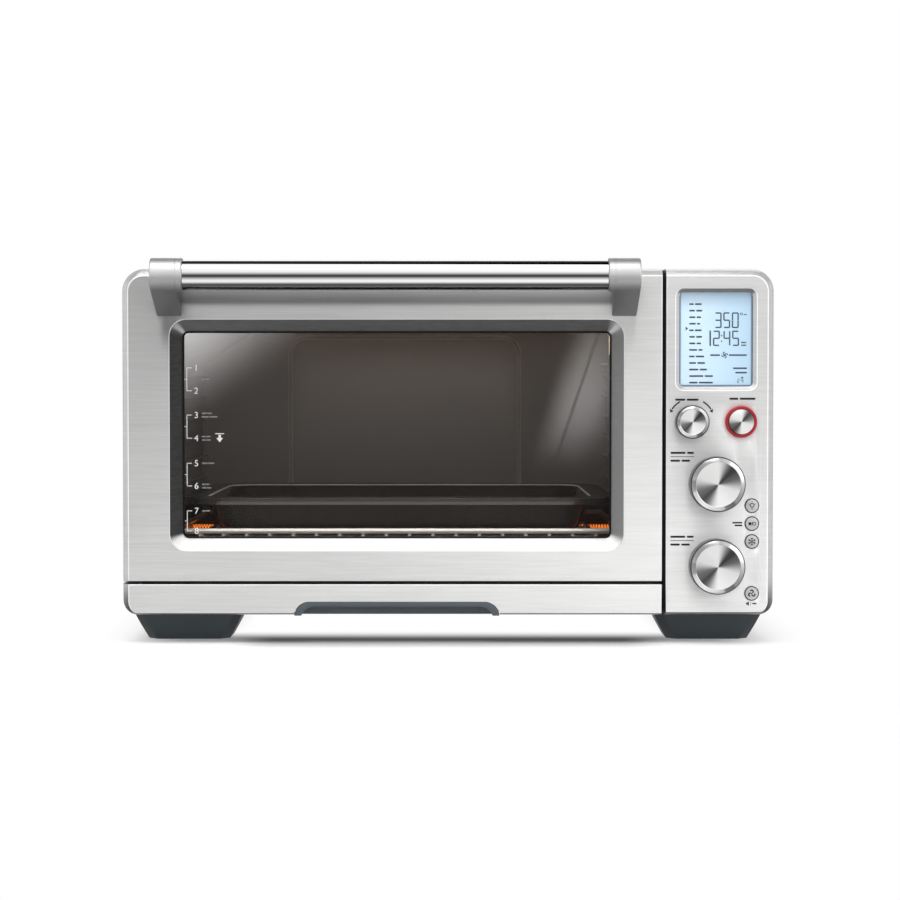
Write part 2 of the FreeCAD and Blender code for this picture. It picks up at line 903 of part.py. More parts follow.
def cavity_right_wall():
    wall = side_wall(cavity_right, -1)
    inside = cavity_right - rail_width
    outside = cavity_right + 2 * sheet
    cover_size = fan_cover_size + 2 * seat
    cover = centered_box(inside, fan_y, fan_z, 2 * rail_width, cover_size, cover_size)
    lens_size = lamp_window + 2 * seat
    lens = centered_box(inside, lamp_y, lamp_z, 2 * rail_width, lens_size, lens_size)
    fan_hole = hole_x(cavity_right, outside, fan_y, fan_z, fan_radius + fan_hole_clear, fan_flats)
    sensor = hole_x(inside, outside, sensor_y, sensor_z, sensor_radius)
    holes = [cover, lens, fan_hole, lamp_hole(2 * sheet), sensor]
    return wall.cut(group(holes + tube_holes(inside, outside)))


def temperature_sensor():
    """Thin probe through the right wall, with its head on the outside."""
    left = cavity_right - sensor_reach
    probe = bar_x(left, cavity_right + sheet, sensor_y, sensor_z, sensor_radius)
    head_x = cavity_right + sheet + sensor_head / 2
    head = centered_box(head_x, sensor_y, sensor_z, sensor_head, sensor_head, sensor_head)
    return fuse([probe, head])


def cavity_roof_panel():
    back = cavity_back_y + sheet
    return box(cavity_left, cavity_right, frame_back_y, back, cavity_roof, cavity_roof + sheet)


def cavity_floor_frame():
    """Rim round the opening through which crumbs fall into the drawer."""
    low = cavity_floor - sheet
    plate = box(cavity_left, cavity_right, frame_back_y, cavity_back_y + sheet, low, cavity_floor)
    gap = floor_opening_border
    opening = box(
        cavity_left + gap, cavity_right - gap, frame_back_y + gap, cavity_back_y - gap, low, cavity_floor,
    )
    return plate.cut(opening)


def cavity_back():
    """Rear wall with its pressed panel."""
    plate = box(cavity_left, cavity_right, cavity_back_y, cavity_back_y + sheet, cavity_floor, cavity_roof)
    width = cavity_width - 2 * boss_side_gap
    height = cavity_height - 2 * boss_end_gap
    face = (width, height, boss_corner)
    foot = (width + 2 * boss_rise, height + 2 * boss_rise, boss_corner + boss_rise)
    inner_face = (width - sheet, height - sheet, boss_corner - sheet / 2)
    front = cavity_back_y - boss_rise
    outer = plain_funnel(door_center_x, cavity_middle_z, face, foot, front, cavity_back_y)
    hollow = plain_funnel(
        door_center_x, cavity_middle_z, inner_face, foot, front + sheet, cavity_back_y + sheet,
    )
    return fuse([plate, outer]).cut(hollow)


def quartz_tubes():
    made = []
    for y, z in tube_places():
        left = cavity_left - tube_reach
        right = cavity_right + tube_reach
        tube = bar_x(left, right, y, z, tube_radius, tube_flats)
        made.append(tube.cut(hole_x(left, right, y, z, tube_bore)))
    return group(made)


def heating_coils():
    """Envelope of the wound wire in each tube."""
    left = cavity_left - tube_reach
    right = cavity_right + tube_reach
    return group(bar_x(left, right, y, z, coil_radius, 6) for y, z in tube_places())


def element_end_caps():
    """Ceramic blocks that hold the tube ends outside the cavity."""
    caps = []
    for y, z in tube_places():
        for x in (cavity_left - tube_reach - cap_length / 2, cavity_right + tube_reach + cap_length / 2):
            caps.append(centered_box(x, y, z, cap_length, cap_size, cap_size))
    return group(caps)


def fan_cover():
    """Shallow dish on the right wall with rows of air slots."""
    face_x = cavity_right - fan_cover_rise
    size = fan_cover_size
    corner = fan_cover_corner
    dish = stacked([
        side_ring(fan_y, fan_z, size, size, corner, x, corner_flats) for x in (face_x, cavity_right)
    ])
    inner = stacked([
        side_ring(fan_y, fan_z, size - 2 * sheet, size - 2 * sheet, corner - sheet, x, corner_flats)
        for x in (face_x + sheet, cavity_right)
    ])
    slots = []
    for row in range(fan_slot_rows):
        step = (row - (fan_slot_rows - 1) / 2) * fan_slot_pitch
        half = math.sqrt((fan_radius + fan_gap) ** 2 - step ** 2) - fan_slot_height / 2
        for side in (-1, 1):
            middle = fan_y + side * (half + fan_slot_height) / 2
            slots.append(centered_box(
                face_x, middle, fan_z + step, 4 * sheet, half - fan_slot_height, fan_slot_height,
            ))
    return dish.cut(inner).cut(group(slots))


def divider_wall():
    wall = box(divider_x, divider_x + sheet, frame_back_y, rear_y - sheet, base_top, body_top - sheet)
    return wall.cut(hole_x(divider_x, divider_x + sheet, fan_y, fan_z, 2 * shaft_radius))


def fan_motor():
    left = divider_x + sheet
    body = bar_x(left, left + motor_length, fan_y, fan_z, motor_radius, fan_flats)
    return body.cut(hole_x(left, left + motor_length, fan_y, fan_z, shaft_radius + running_fit))


def fan_shaft():
    right = divider_x + sheet + motor_length + 2 * sheet + fan_depth
    return bar_x(fan_x, right, fan_y, fan_z, shaft_radius)


def paddle_wheel(x0, radius, depth, count):
    """Backing disc with upright blades round a hub, bored for the shaft."""
    disc = bar_x(x0 + depth - sheet, x0 + depth, fan_y, fan_z, radius, fan_flats)
    hub = bar_x(x0, x0 + depth, fan_y, fan_z, fan_hub_radius, pin_flats)
    blades = []
    for index in range(count):
        half = fan_blade / 2
        root = fan_z + fan_hub_radius - fan_blade
        blade = box(x0, x0 + depth, fan_y - half, fan_y + half, root, fan_z + radius - blade_tip_gap)
        blade.rotate(Vector(x0, fan_y, fan_z + fan_hub_radius), Vector(1, 0, 0), blade_lean)
        blade.rotate(Vector(x0, fan_y, fan_z), Vector(1, 0, 0), 360 * index / count)
        blades.append(blade)
    return fuse([disc, hub] + blades).cut(bar_x(x0, x0 + depth, fan_y, fan_z, shaft_radius))


def convection_fan():
    return paddle_wheel(fan_x, fan_radius, fan_depth, fan_blade_count)


def cooling_fan():
    left = divider_x + sheet + motor_length + 2 * sheet
    return paddle_wheel(left, cooling_fan_radius, fan_depth, fan_blade_count // 2)


def lamp_lens():
    """Glass over the lamp, seated on the right wall."""
    return centered_box(cavity_right - sheet, lamp_y, lamp_z, 2 * sheet, lamp_window, lamp_window)


def oven_lamp():
    """Lamp holder behind the wall with its bulb."""
    back = cavity_right + sheet
    inner = lamp_window - 4 * sheet
    holder = centered_box(back + lamp_depth / 2, lamp_y, lamp_z, lamp_depth, lamp_window, lamp_window)
    hollow = centered_box(back + lamp_hollow / 2, lamp_y, lamp_z, lamp_hollow, inner, inner)
    bulb_x = back + bulb_gap + bulb_radius
    bulb = bar((bulb_x, lamp_y, lamp_z - bulb_length / 2), (0, 0, 1), bulb_length, bulb_radius)
    half = bulb_length / 4
    stem = box(bulb_x, back + lamp_depth, lamp_y - sheet, lamp_y + sheet, lamp_z - half, lamp_z + half)
    return fuse([holder.cut(hollow), stem, bulb])


def wire_rack():
    """Welded rack: a bar frame, thin wires under it and two cross wires under those."""
    half = cavity_width / 2 - rack_margin - rack_bar_radius
    left = door_center_x - half
    length_y = rack_back_y - rack_front_y
    parts = []
    for x in (left, left + 2 * half):
        parts.append(bar((x, rack_front_y, rack_bar_z), (0, 1, 0), length_y, rack_bar_radius))
    for y in (rack_front_y + rack_bar_radius, rack_back_y - rack_bar_radius):
        parts.append(bar((left, y, rack_bar_z), (1, 0, 0), 2 * half, rack_bar_radius))
    first_x = door_center_x - (rack_wire_count - 1) * rack_wire_pitch / 2
    last_x = 2 * door_center_x - first_x
    cross_z = rack_wire_z - 2 * rack_wire_radius + weld
    for y in (rack_front_y + 4 * rack_bar_radius, (rack_front_y + rack_back_y) / 2):
        start = first_x - rack_wire_radius
        parts.append(bar_x(start, last_x + rack_wire_radius, y, cross_z, rack_wire_radius, wire_flats))
    for index in range(rack_wire_count):
        start = (first_x + index * rack_wire_pitch, rack_front_y, rack_wire_z)
        parts.append(bar(start, (0, 1, 0), length_y, rack_wire_radius, wire_flats))
    return fuse(parts)


def pan_ring(grow, z):
    """Level outline of the pan at height z, larger or smaller by the same amount all round."""
    width = pan_width + 2 * grow
    depth = pan_depth + 2 * grow
    return level_ring(door_center_x, pan_center_y, width, depth, pan_corner + grow, z, pan_flats)


def roasting_pan():
    """Deep enamelled pan: tapered walls, a rounded foot and a wide turned-down rim."""
    top = pan_bottom + pan_height
    steps = [(pan_bottom, -pan_taper - pan_foot), (pan_bottom + pan_foot, -pan_taper), (top, 0)]
    outside = stacked([pan_ring(grow, z) for z, grow in steps])
    floors = (pan_bottom + pan_wall, pan_bottom + pan_foot + pan_wall, top)
    inside = stacked([pan_ring(grow - pan_wall, z) for z, (_, grow) in zip(floors, steps)])
    rim_low = top - pan_rim_drop
    rim = stacked([pan_ring(pan_rim, rim_low), pan_ring(pan_rim, top)])
    under = stacked([pan_ring(pan_rim - pan_wall, rim_low), pan_ring(pan_rim - pan_wall, top - pan_wall)])
    return fuse([outside, rim.cut(under)]).cut(inside)


def grip_wire(draw_in, y):
    """Arched outline of the finger grip, closed along its bottom."""
    half = grip_length / 2 - grip_side_share * draw_in
    top = body_bottom + grip_height - draw_in
    low = body_bottom - grip_hang
    across = grip_slope * grip_bulge[0]
    up = (top - low) * grip_bulge[1]
    ends = []
    for side in (-1, 1):
        start = Vector(door_center_x + side * half, y, low)
        knee = start + Vector(-side * across, 0, up)
        shoulder = Vector(start.x - side * grip_slope, y, top)
        ends.append((start, knee, shoulder))
    (left, left_knee, left_top), (right, right_knee, right_top) = ends
    edges = [
        Part.Arc(left, left_knee, left_top).toShape(),
        Part.LineSegment(left_top, right_top).toShape(),
        Part.Arc(right_top, right_knee, right).toShape(),
        Part.LineSegment(right, left).toShape(),
    ]
    return Part.Wire(edges)


def tray_front():
    """Crumb drawer front: the strip under the door, notched for the grip."""
    far = body_width
    region = box(-far, door_right_x, front_y - far, rear_y, 0, strip_top)
    inner_region = box(-far, door_right_x - sheet, front_y - far, rear_y, 0, strip_top - sheet)
    shell = front_form(0).common(region).cut(front_form(sheet).common(inner_region))
    notch = Part.Face(grip_wire(-panel_fit, front_y - 1)).extrude(Vector(0, panel_depth + 2, 0))
    return shell.cut(notch)


def tray_grip():
    """Moulded grip that lines the notch, with a pocket for the fingers."""
    block = Part.Face(grip_wire(0, front_y)).extrude(Vector(0, panel_depth, 0))
    pocket = Part.Face(grip_wire(grip_band, front_y)).extrude(Vector(0, grip_pocket, 0))
    under = box(
        door_center_x - grip_length, door_center_x + grip_length, front_y + grip_pocket, panel_back_y,
        body_bottom - 2 * grip_hang, body_bottom,
    )
    return block.cut(pocket).cut(under)


def crumb_tray():
    """Shallow drawer with a front flange that carries the drawer front."""
    left = cavity_left + tray_margin
    right = cavity_right - tray_margin
    flange_y = panel_back_y
    back = cavity_back_y - tray_back_gap
    block = box(left, right, flange_y, back, tray_bottom, tray_top)
    hollow = box(
        left + tray_wall, right - tray_wall, flange_y + sheet, back - tray_wall,
        tray_bottom + tray_wall, tray_top,
    )
    flange = box(
        -half_width + bottom_corner, divider_x, flange_y, flange_y + sheet,
        tray_bottom, tray_top + tray_flange_rise,
    )
    return fuse([block, flange]).cut(hollow)


def control_points():
    """Place and hole of each control, as x, z, radius and number of flats."""
    return {
        "temp": (controls_x, temp_z, shaft_radius + seat, 8),
        "time": (controls_x, time_z, shaft_radius + seat, 8),
        "select": (controls_x + select_offset, select_z, shaft_radius + seat, 8),
        "start": (controls_x + start_offset, select_z, start_radius + seat, button_flats),
    }


def button_points():
    """Three buttons in a row under the upper dial's middle and one beside the lower dial."""
    x = controls_x + button_offset
    row = [(x, temp_z - light_button_drop - index * button_pitch) for index in range(3)]
    return row + [(x, time_z - convection_button_drop)]


def lcd_size(grow):
    """Width, height and corner of the display opening, larger by the same amount all round."""
    return (lcd_width + 2 * grow, lcd_height + 2 * grow, lcd_corner + grow)


def control_panel():
    far = body_width
    region = box(panel_left_x, far, front_y - far, rear_y, 0, far)
    inner_region = box(panel_left_x + sheet, far, front_y - far, rear_y, 0, far)
    shell = front_form(0, frame_y).common(region).cut(front_form(sheet, frame_y).common(inner_region))
    recess = []
    back = front_y + lcd_lip_depth
    for grow in (sheet, 0):
        mouth = lcd_size(lcd_lip + grow)
        recess.append(plain_funnel(controls_x, lcd_z, mouth, lcd_size(grow), front_y, back))
    wall, opening = recess
    posts = []
    inset = post_size / 2
    for x in (controls_x - board_half_width + inset, controls_x + board_half_width - inset):
        for z in (board_low + inset, board_high - inset):
            y0 = front_y + sheet / 2
            posts.append(centered_box(x, (y0 + board_y) / 2, z, post_size, board_y - y0, post_size))
    back = front_y + 2 * sheet
    holes = [hole_y(x, front_y - 1, back, z, r, flats) for x, z, r, flats in control_points().values()]
    holes += [hole_y(x, front_y - 1, back, z, button_radius + seat, button_flats) for x, z in button_points()]
    return fuse([shell, wall] + posts).cut(group([opening] + holes))


def gap_trim():
    """Dark strip in the seam between door and control panel."""
    slab = box(panel_left_x - trim_width, panel_left_x, front_y - 1, frame_y, body_bottom, body_top)
    return front_form(trim_setback, frame_y).common(slab)


def lcd_lens():
    """Clear lens that laps behind the pressed opening."""
    return centered_box(
        controls_x, front_y + lcd_lip_depth + lens_thickness / 2, lcd_z,
        lcd_width + 2 * lens_lap, lens_thickness, lcd_height + 2 * lens_lap,
    )


def lcd_module():
    y0 = front_y + lcd_lip_depth + lens_thickness
    middle = (y0 + board_y) / 2
    return centered_box(controls_x, middle, lcd_z, lcd_width, board_y - y0, lcd_height)


def control_board():
    """Circuit board with a switch under each push button."""
    board = box(
        controls_x - board_half_width, controls_x + board_half_width, board_y, board_y + board_thickness,
        board_low, board_high,
    )
    start_x, start_z = control_points()["start"][:2]
    blocks = []
    for x, z in button_points() + [(start_x, start_z)]:
        blocks.append(centered_box(
            x, board_y - switch_block_depth / 2, z, switch_block, switch_block_depth, switch_block,
        ))
    return fuse([board] + blocks)


def rotary_encoders():
    made = []
    for name in ("temp", "time", "select"):
        x, z = control_points()[name][:2]
        block = centered_box(x, board_y - encoder_depth / 2, z, encoder_size, encoder_depth, encoder_size)
        bore = hole_y(x, board_y - encoder_depth, board_y - encoder_floor, z, shaft_radius + running_fit)
        made.append(block.cut(bore))
    return group(made)


def turned_knob(x, z, back, height, radius, face_radius, bevel, flats):
    """Knob turned about its shaft axis: straight side, bevelled rim and flat face."""
    rings = []
    for reach, y in ((radius, back), (radius, back - height + bevel), (face_radius, back - height)):
        turns = [2 * math.pi * index / flats for index in range(flats)]
        rings.append([Vector(x + reach * math.cos(turn), y, z + reach * math.sin(turn)) for turn in turns])
    return stacked(rings)


def shaft_dial(name):
    """Large dial with its own shaft into the encoder."""
    x, z = control_points()[name][:2]
    back = front_y - dial_gap
    knob = turned_knob(x, z, back, dial_height, dial_radius, dial_face_radius, dial_chamfer, dial_flats)
    return fuse([knob, bar_y(x, back, board_y - encoder_floor - seat, z, shaft_radius)])


def select_back():
    """Depth of the select dial's back face when it isn't pressed."""
    return front_y - select_travel - seat


def select_dial():
    x, z = control_points()["select"][:2]
    knob = turned_knob(
        x, z, select_back(), select_height, select_radius, select_face_radius, select_bevel, select_flats,
    )
    socket = hole_y(x, select_back() - select_height / 2, select_back(), z, shaft_radius + running_fit)
    return knob.cut(socket)


def select_shaft():
    x, z = control_points()["select"][:2]
    start = select_back() - select_height / 2 + seat
    return bar_y(x, start, board_y - encoder_floor - seat - select_travel, z, shaft_radius)


def start_ring():
    x, z = control_points()["start"][:2]
    ring = bar_y(x, front_y - ring_height, front_y, z, ring_radius, ring_flats)
    return ring.cut(hole_y(x, front_y - ring_height, front_y, z, start_radius + seat, ring_flats))


def push_button(x, z, radius, proud, travel):
    """Round cap on a stem that stops short of its switch by the travel."""
    cap = bar_y(x, front_y - proud, front_y + sheet, z, radius, button_flats)
    end = board_y - switch_block_depth - seat - travel
    return fuse([cap, bar_y(x, front_y + sheet, end, z, stem_radius, 6)])


def start_button():
    x, z = control_points()["start"][:2]
    return push_button(x, z, start_radius, start_proud, start_travel)


def small_button(index):
    x, z = button_points()[index]
    return push_button(x, z, button_radius, button_proud, button_travel)


def switch_plunger():
    start = panel_back_y + seat
    return bar_y(plunger_x, start, start + plunger_length, plunger_z, plunger_radius)


def door_switch():
    """Switch behind the frame, bored for the plunger."""
    size = switch_size
    body = centered_box(plunger_x, frame_back_y + size / 2, plunger_z, size, size, 2 * size)
    depth = panel_back_y + seat + plunger_length + seat
    return body.cut(hole_y(plunger_x, frame_back_y, depth, plunger_z, plunger_radius + running_fit))


nodes = {
    "outer_cover": outer_cover,
    "base_plate": base_plate,
    "rear_cover": rear_cover,
    "rear_spacers": rear_spacers,
    "cord_bush": cord_bush,
    "front_feet": lambda: feet(front_y + foot_setback),
    "rear_feet": lambda: feet(rear_y - foot_setback),
    "front_frame": front_frame,
    "door_seal": door_seal,
    "divider_wall": divider_wall,
    "cavity_back": cavity_back,
    "cavity_left_wall": cavity_left_wall,
    "cavity_right_wall": cavity_right_wall,
    "cavity_roof": cavity_roof_panel,
    "cavity_floor": cavity_floor_frame,
    "quartz_tubes": quartz_tubes,
    "heating_coils": heating_coils,
    "element_end_caps": element_end_caps,
    "fan_cover": fan_cover,
    "fan_motor": fan_motor,
    "fan_shaft": fan_shaft,
    "convection_fan": convection_fan,
    "cooling_fan": cooling_fan,
    "oven_lamp": oven_lamp,
    "lamp_lens": lamp_lens,
    "temperature_sensor": temperature_sensor,
    "door_panel": door_panel,
    "door_glass": door_glass,
    "glass_seal": glass_seal,
    "door_inner_panel": door_inner_panel,
    "handle_bar": handle_bar,
    "handle_bracket_left": handle_bracket,
    "handle_bracket_right": lambda: mirrored(handle_bracket()),
    "hinge_arm_left": lambda: hinge_arm(-1),
    "hinge_arm_right": lambda: hinge_arm(1),
    "hinge_bracket_left": lambda: hinge_bracket(-1),
    "hinge_bracket_right": lambda: hinge_bracket(1),
    "door_switch": door_switch,
    "switch_plunger": switch_plunger,
    "wire_rack": wire_rack,
    "roasting_pan": roasting_pan,
    "crumb_tray": crumb_tray,
    "tray_front": tray_front,
    "tray_grip": tray_grip,
    "control_panel": control_panel,
    "gap_trim": gap_trim,
    "lcd_lens": lcd_lens,
    "lcd_module": lcd_module,
    "control_board": control_board,
    "rotary_encoders": rotary_encoders,
    "temp_dial": lambda: shaft_dial("temp"),
    "time_dial": lambda: shaft_dial("time"),
    "select_dial": select_dial,
    "select_shaft": select_shaft,
    "start_ring": start_ring,
    "start_button": start_button,
    "light_button": lambda: small_button(0),
    "phase_button": lambda: small_button(1),
    "frozen_button": lambda: small_button(2),
    "convection_button": lambda: small_button(3),
}

os.makedirs("parts", exist_ok=True)
for node, make in nodes.items():
    shape = make()
    shape.exportStep("parts/" + node + ".step")
    print(node, len(shape.Solids), shape.isValid(), round(shape.Volume))
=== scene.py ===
# %% [markdown]
# # A countertop convection oven, dressed around its frame
# The frame holds every piece of the oven at its real size and place. This file gives each
# visible piece its smooth shape and its finish. Sizes are in metres and are read from the
# frame wherever a piece has to meet another.

import bmesh
import bpy
import math
from mathutils import Matrix, Vector


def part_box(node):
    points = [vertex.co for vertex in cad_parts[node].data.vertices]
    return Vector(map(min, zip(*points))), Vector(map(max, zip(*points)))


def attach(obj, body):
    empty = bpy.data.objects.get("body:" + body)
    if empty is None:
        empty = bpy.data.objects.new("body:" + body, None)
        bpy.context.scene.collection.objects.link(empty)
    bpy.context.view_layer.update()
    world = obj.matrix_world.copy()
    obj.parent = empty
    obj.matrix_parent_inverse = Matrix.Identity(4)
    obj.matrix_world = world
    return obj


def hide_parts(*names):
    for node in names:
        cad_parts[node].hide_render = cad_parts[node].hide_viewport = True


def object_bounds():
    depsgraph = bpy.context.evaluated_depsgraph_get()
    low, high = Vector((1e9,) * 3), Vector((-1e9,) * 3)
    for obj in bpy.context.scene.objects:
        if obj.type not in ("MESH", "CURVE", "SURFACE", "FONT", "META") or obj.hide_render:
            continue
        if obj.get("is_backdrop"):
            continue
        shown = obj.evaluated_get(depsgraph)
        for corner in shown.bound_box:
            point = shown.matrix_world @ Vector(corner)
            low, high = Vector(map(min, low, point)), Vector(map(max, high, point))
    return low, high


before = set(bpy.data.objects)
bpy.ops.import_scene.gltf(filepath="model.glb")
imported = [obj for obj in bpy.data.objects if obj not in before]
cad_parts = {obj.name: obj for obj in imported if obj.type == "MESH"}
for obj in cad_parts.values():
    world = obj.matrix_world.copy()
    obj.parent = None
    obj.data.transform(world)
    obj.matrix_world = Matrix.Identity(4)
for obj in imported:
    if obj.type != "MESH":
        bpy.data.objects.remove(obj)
cad_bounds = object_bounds()
MM = 0.001

# %% [markdown]
# ## Places that the pieces share
# The door, the drawer front and the control panel are cut from one rolled front, so they
# share their outline. It is read here from the boxes of the nodes.

# %% Outline of the front
def middle_of(node):
    """Middle of a node's box."""
    return [(low + high) / 2 for low, high in zip(*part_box(node))]


body_low, body_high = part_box("outer_cover")
door_low, door_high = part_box("door_panel")
front_y = door_low[1]
left_x, right_x = body_low[0], body_high[0]
bottom_z, top_z = body_low[2], body_high[2]
door_x, _, window_z = middle_of("door_glass")
lip_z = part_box("tray_grip")[0][2]
sheet = 1.2 * MM
top_corner = 19.0 * MM
bottom_corner = 12.5 * MM
print("front from", round(left_x, 4), "to", round(right_x, 4), "at depth", round(front_y, 4))

# %% [markdown]
# ## Shader and geometry trees written as expressions
# A finish is a small tree of nodes. One class wraps a socket, so that sums and products read
# as they would on paper, and one method makes any other node. The same two classes build
# the geometry trees further down.

# %% Trees of nodes
class Link:
    """A value that comes out of a node."""

    def __init__(self, tree, socket):
        self.tree = tree
        self.socket = socket

    def maths(self, operation, first, second=0.0):
        values = {0: first, 1: second}
        return self.tree.node("ShaderNodeMath", {"operation": operation}, values)

    def __add__(self, other):
        return self.maths("ADD", self, other)

    def __sub__(self, other):
        return self.maths("SUBTRACT", self, other)

    def __rsub__(self, other):
        return self.maths("SUBTRACT", other, self)

    def __mul__(self, other):
        return self.maths("MULTIPLY", self, other)

    def __truediv__(self, other):
        return self.maths("DIVIDE", self, other)

    def __neg__(self):
        return self.maths("MULTIPLY", self, -1.0)

    def __abs__(self):
        return self.maths("ABSOLUTE", self)

    __radd__ = __add__
    __rmul__ = __mul__

    def least(self, other):
        return self.maths("MINIMUM", self, other)

    def most(self, other):
        return self.maths("MAXIMUM", self, other)

    def fade(self, start, end):
        """Runs smoothly from 0 at start to 1 at end."""
        values = {"Value": self, "From Min": start, "From Max": end}
        settings = {"interpolation_type": "SMOOTHSTEP", "clamp": True}
        return self.tree.node("ShaderNodeMapRange", settings, values)

    def band(self, start, full, fading, end):
        """Rises to 1 between the first two values and falls back between the last two."""
        return self.fade(start, full) * (1.0 - self.fade(fading, end))


class Tree:
    """A node tree with one method for every node."""

    def __init__(self, tree):
        self.tree = tree
        self.tree.nodes.clear()

    def node(self, kind, settings=None, values=None, out=0):
        made = self.tree.nodes.new(kind)
        for name, value in (settings or {}).items():
            setattr(made, name, value)
        for name, value in (values or {}).items():
            self.feed(made.inputs[name], value)
        if not made.outputs:
            return made
        return Link(self, made.outputs[out])

    def feed(self, socket, value):
        if isinstance(value, list):
            for part in value:
                self.tree.links.new(part.socket, socket)
        elif isinstance(value, Link):
            self.tree.links.new(value.socket, socket)
        else:
            socket.default_value = value

    def outputs(self, kind, names, values=None):
        """Several outputs of one node."""
        made = self.node(kind, None, values).socket.node
        return [Link(self, made.outputs[name]) for name in names]

    def blend(self, amount, first, second):
        """Colour between two colours or links."""
        values = {0: amount, 6: first, 7: second}
        return self.node("ShaderNodeMix", {"data_type": "RGBA"}, values, out=2)

    def vector(self, operation, first, second=(0, 0, 0), scale=1.0, out=0):
        values = {0: first, 1: second, 3: scale}
        return self.node("ShaderNodeVectorMath", {"operation": operation}, values, out=out)

    def join(self, x, y, z):
        return self.node("ShaderNodeCombineXYZ", None, {0: x, 1: y, 2: z})

    def split(self, vector):
        return self.outputs("ShaderNodeSeparateXYZ", (0, 1, 2), {0: vector})


class Finish(Tree):
    """A material in the making."""

    def __init__(self, name):
        self.material = bpy.data.materials.new(name)
        self.material.use_nodes = True
        super().__init__(self.material.node_tree)
        self.place = self.node("ShaderNodeTexCoord", out=3)

    def noise(self, scale, detail, stretch=(1, 1, 1)):
        spot = self.node("ShaderNodeMapping", None, {0: self.place, 3: stretch})
        return self.node("ShaderNodeTexNoise", None, {0: spot, "Scale": scale, "Detail": detail})

    def facing(self):
        """Parts of the direction in which the piece's own surface points."""
        return self.split(self.node("ShaderNodeTexCoord", out=1))

    def tint(self, shade, dark, light):
        """Colour between two greys or colours, for a shade from 0 to 1."""
        ends = [(end,) * 3 if isinstance(end, float) else end for end in (dark, light)]
        return self.blend(shade, (*ends[0], 1), (*ends[1], 1))

    def scatter(self, value):
        """Noise so fine that every ray through a pixel meets another value, from -1 to 1."""
        values = {1: value * 4.0e5}
        random = self.node("ShaderNodeTexWhiteNoise", {"noise_dimensions": "1D"}, values)
        return random * 2.0 - 1.0

    def lean(self, direction, amount):
        """Normal that leans by an amount along a direction, as fine scratches make it."""
        normal = self.node("ShaderNodeNewGeometry", out=1)
        push = self.vector("SCALE", direction, scale=amount)
        return self.vector("NORMALIZE", self.vector("ADD", normal, push))

    def mirrored(self, index):
        """Share of light that a pane mirrors; its far faces let everything out."""
        share = self.node("ShaderNodeFresnel", None, {"IOR": index})
        return share * (1.0 - self.node("ShaderNodeNewGeometry", out=6))

    def mix(self, share, first, second):
        return self.node("ShaderNodeMixShader", None, {0: share, 1: first, 2: second})

    def done(self, shader):
        """Ends the tree in a shader."""
        self.node("ShaderNodeOutputMaterial", None, {0: shader})
        return self.material

    def surface(self, **values):
        """Ends the tree in the usual shader; names use underscores for spaces."""
        named = {name.replace("_", " "): value for name, value in values.items()}
        return self.done(self.node("ShaderNodeBsdfPrincipled", None, named))


def scaled(colour, share):
    """Colour made darker or lighter."""
    return tuple(min(part * share, 1.0) for part in colour)


print("tree classes ready")

# %% [markdown]
# ## Brushed steel
# The sheets are stainless steel, brushed in one direction. Brushing leaves fine scratches:
# along them the steel mirrors sharply and across them it smears, which is why a brushed door
# shows soft level bands. Here the normal leans at random across the brushing, and slower
# streaks change its colour and roughness, because the eye sees those. A studio also throws
# slow shades over such a front. They could come from many small lamps, but a painted shade
# that reads the place on the sheet, and at its rolled edge the direction in which the surface
# points, is easier to aim. The rolled edge also gets a painted highlight along its crease and
# a painted dark rim.

# %% Brushed steel
seam_low, seam_high = 47.5 * MM, 54.5 * MM
seam_left, seam_right = 178.0 * MM, 184.8 * MM
BRUSHING = 0.45


def brushed_steel(name, colour, across, stretch, metallic=1.0, shade=None):
    """Steel brushed along the direction in which its streaks are stretched."""
    finish = Finish(name)
    fine = finish.noise(1.0, 3.0, stretch)
    broad = finish.noise(0.25, 2.0, stretch)
    streaks = (fine - 0.5) * 1.6 + (broad - 0.5) * 0.8
    coordinate = finish.split(finish.place)[across.index(1)]
    amount = finish.scatter(coordinate) * BRUSHING + streaks * 0.012
    level = streaks * 0.12 + 0.96
    sideways, toward, upward = finish.facing()
    tilt = -toward
    rolled = 1.0 - tilt.fade(0.80, 0.90)
    # Painted shade: the door's or the panel's own shade over the face, a fixed painted shade on the
    # rolled band, and painted shade in the seams and lower corners.
    if shade:
        level = level * (shade(finish) * (1.0 - rolled) + rolled * 0.72)
        level = level * seam_shade(finish, sideways, upward)
    # Painted shade on the rolled band where it faces up, and a deeper one where it faces down.
    level = level * (1.0 - upward.fade(0.20, 0.55) * rolled * 0.22)
    level = level * (1.0 - (-upward).fade(0.20, 0.55) * rolled * 0.72)
    streaks_and_painted_shade = finish.tint(level, 0.0, colour)
    # Painted highlight: a near-white, less metallic line along the crease where the face turns into
    # the rolled band.
    crease_line = (1.0 - tilt.fade(0.965, 0.995)) * tilt.fade(0.84, 0.90)
    lit_crease = crease_line * (1.0 - (-upward).fade(0.1, 0.3))
    with_painted_crease_highlight = finish.blend(lit_crease, streaks_and_painted_shade, (0.96, 0.96, 0.96, 1))
    # Painted shade: a dark rim where the rolled band meets the sides.
    rim = 1.0 - tilt.fade(0.0, 0.22)
    return finish.surface(
        Base_Color=finish.blend(rim * 0.55, with_painted_crease_highlight, (0.1, 0.1, 0.1, 1)),
        Metallic=(1.0 - crease_line * 0.6) * metallic,
        Roughness=streaks * 0.05 + 0.2,
        Normal=finish.lean(across, amount),
    )


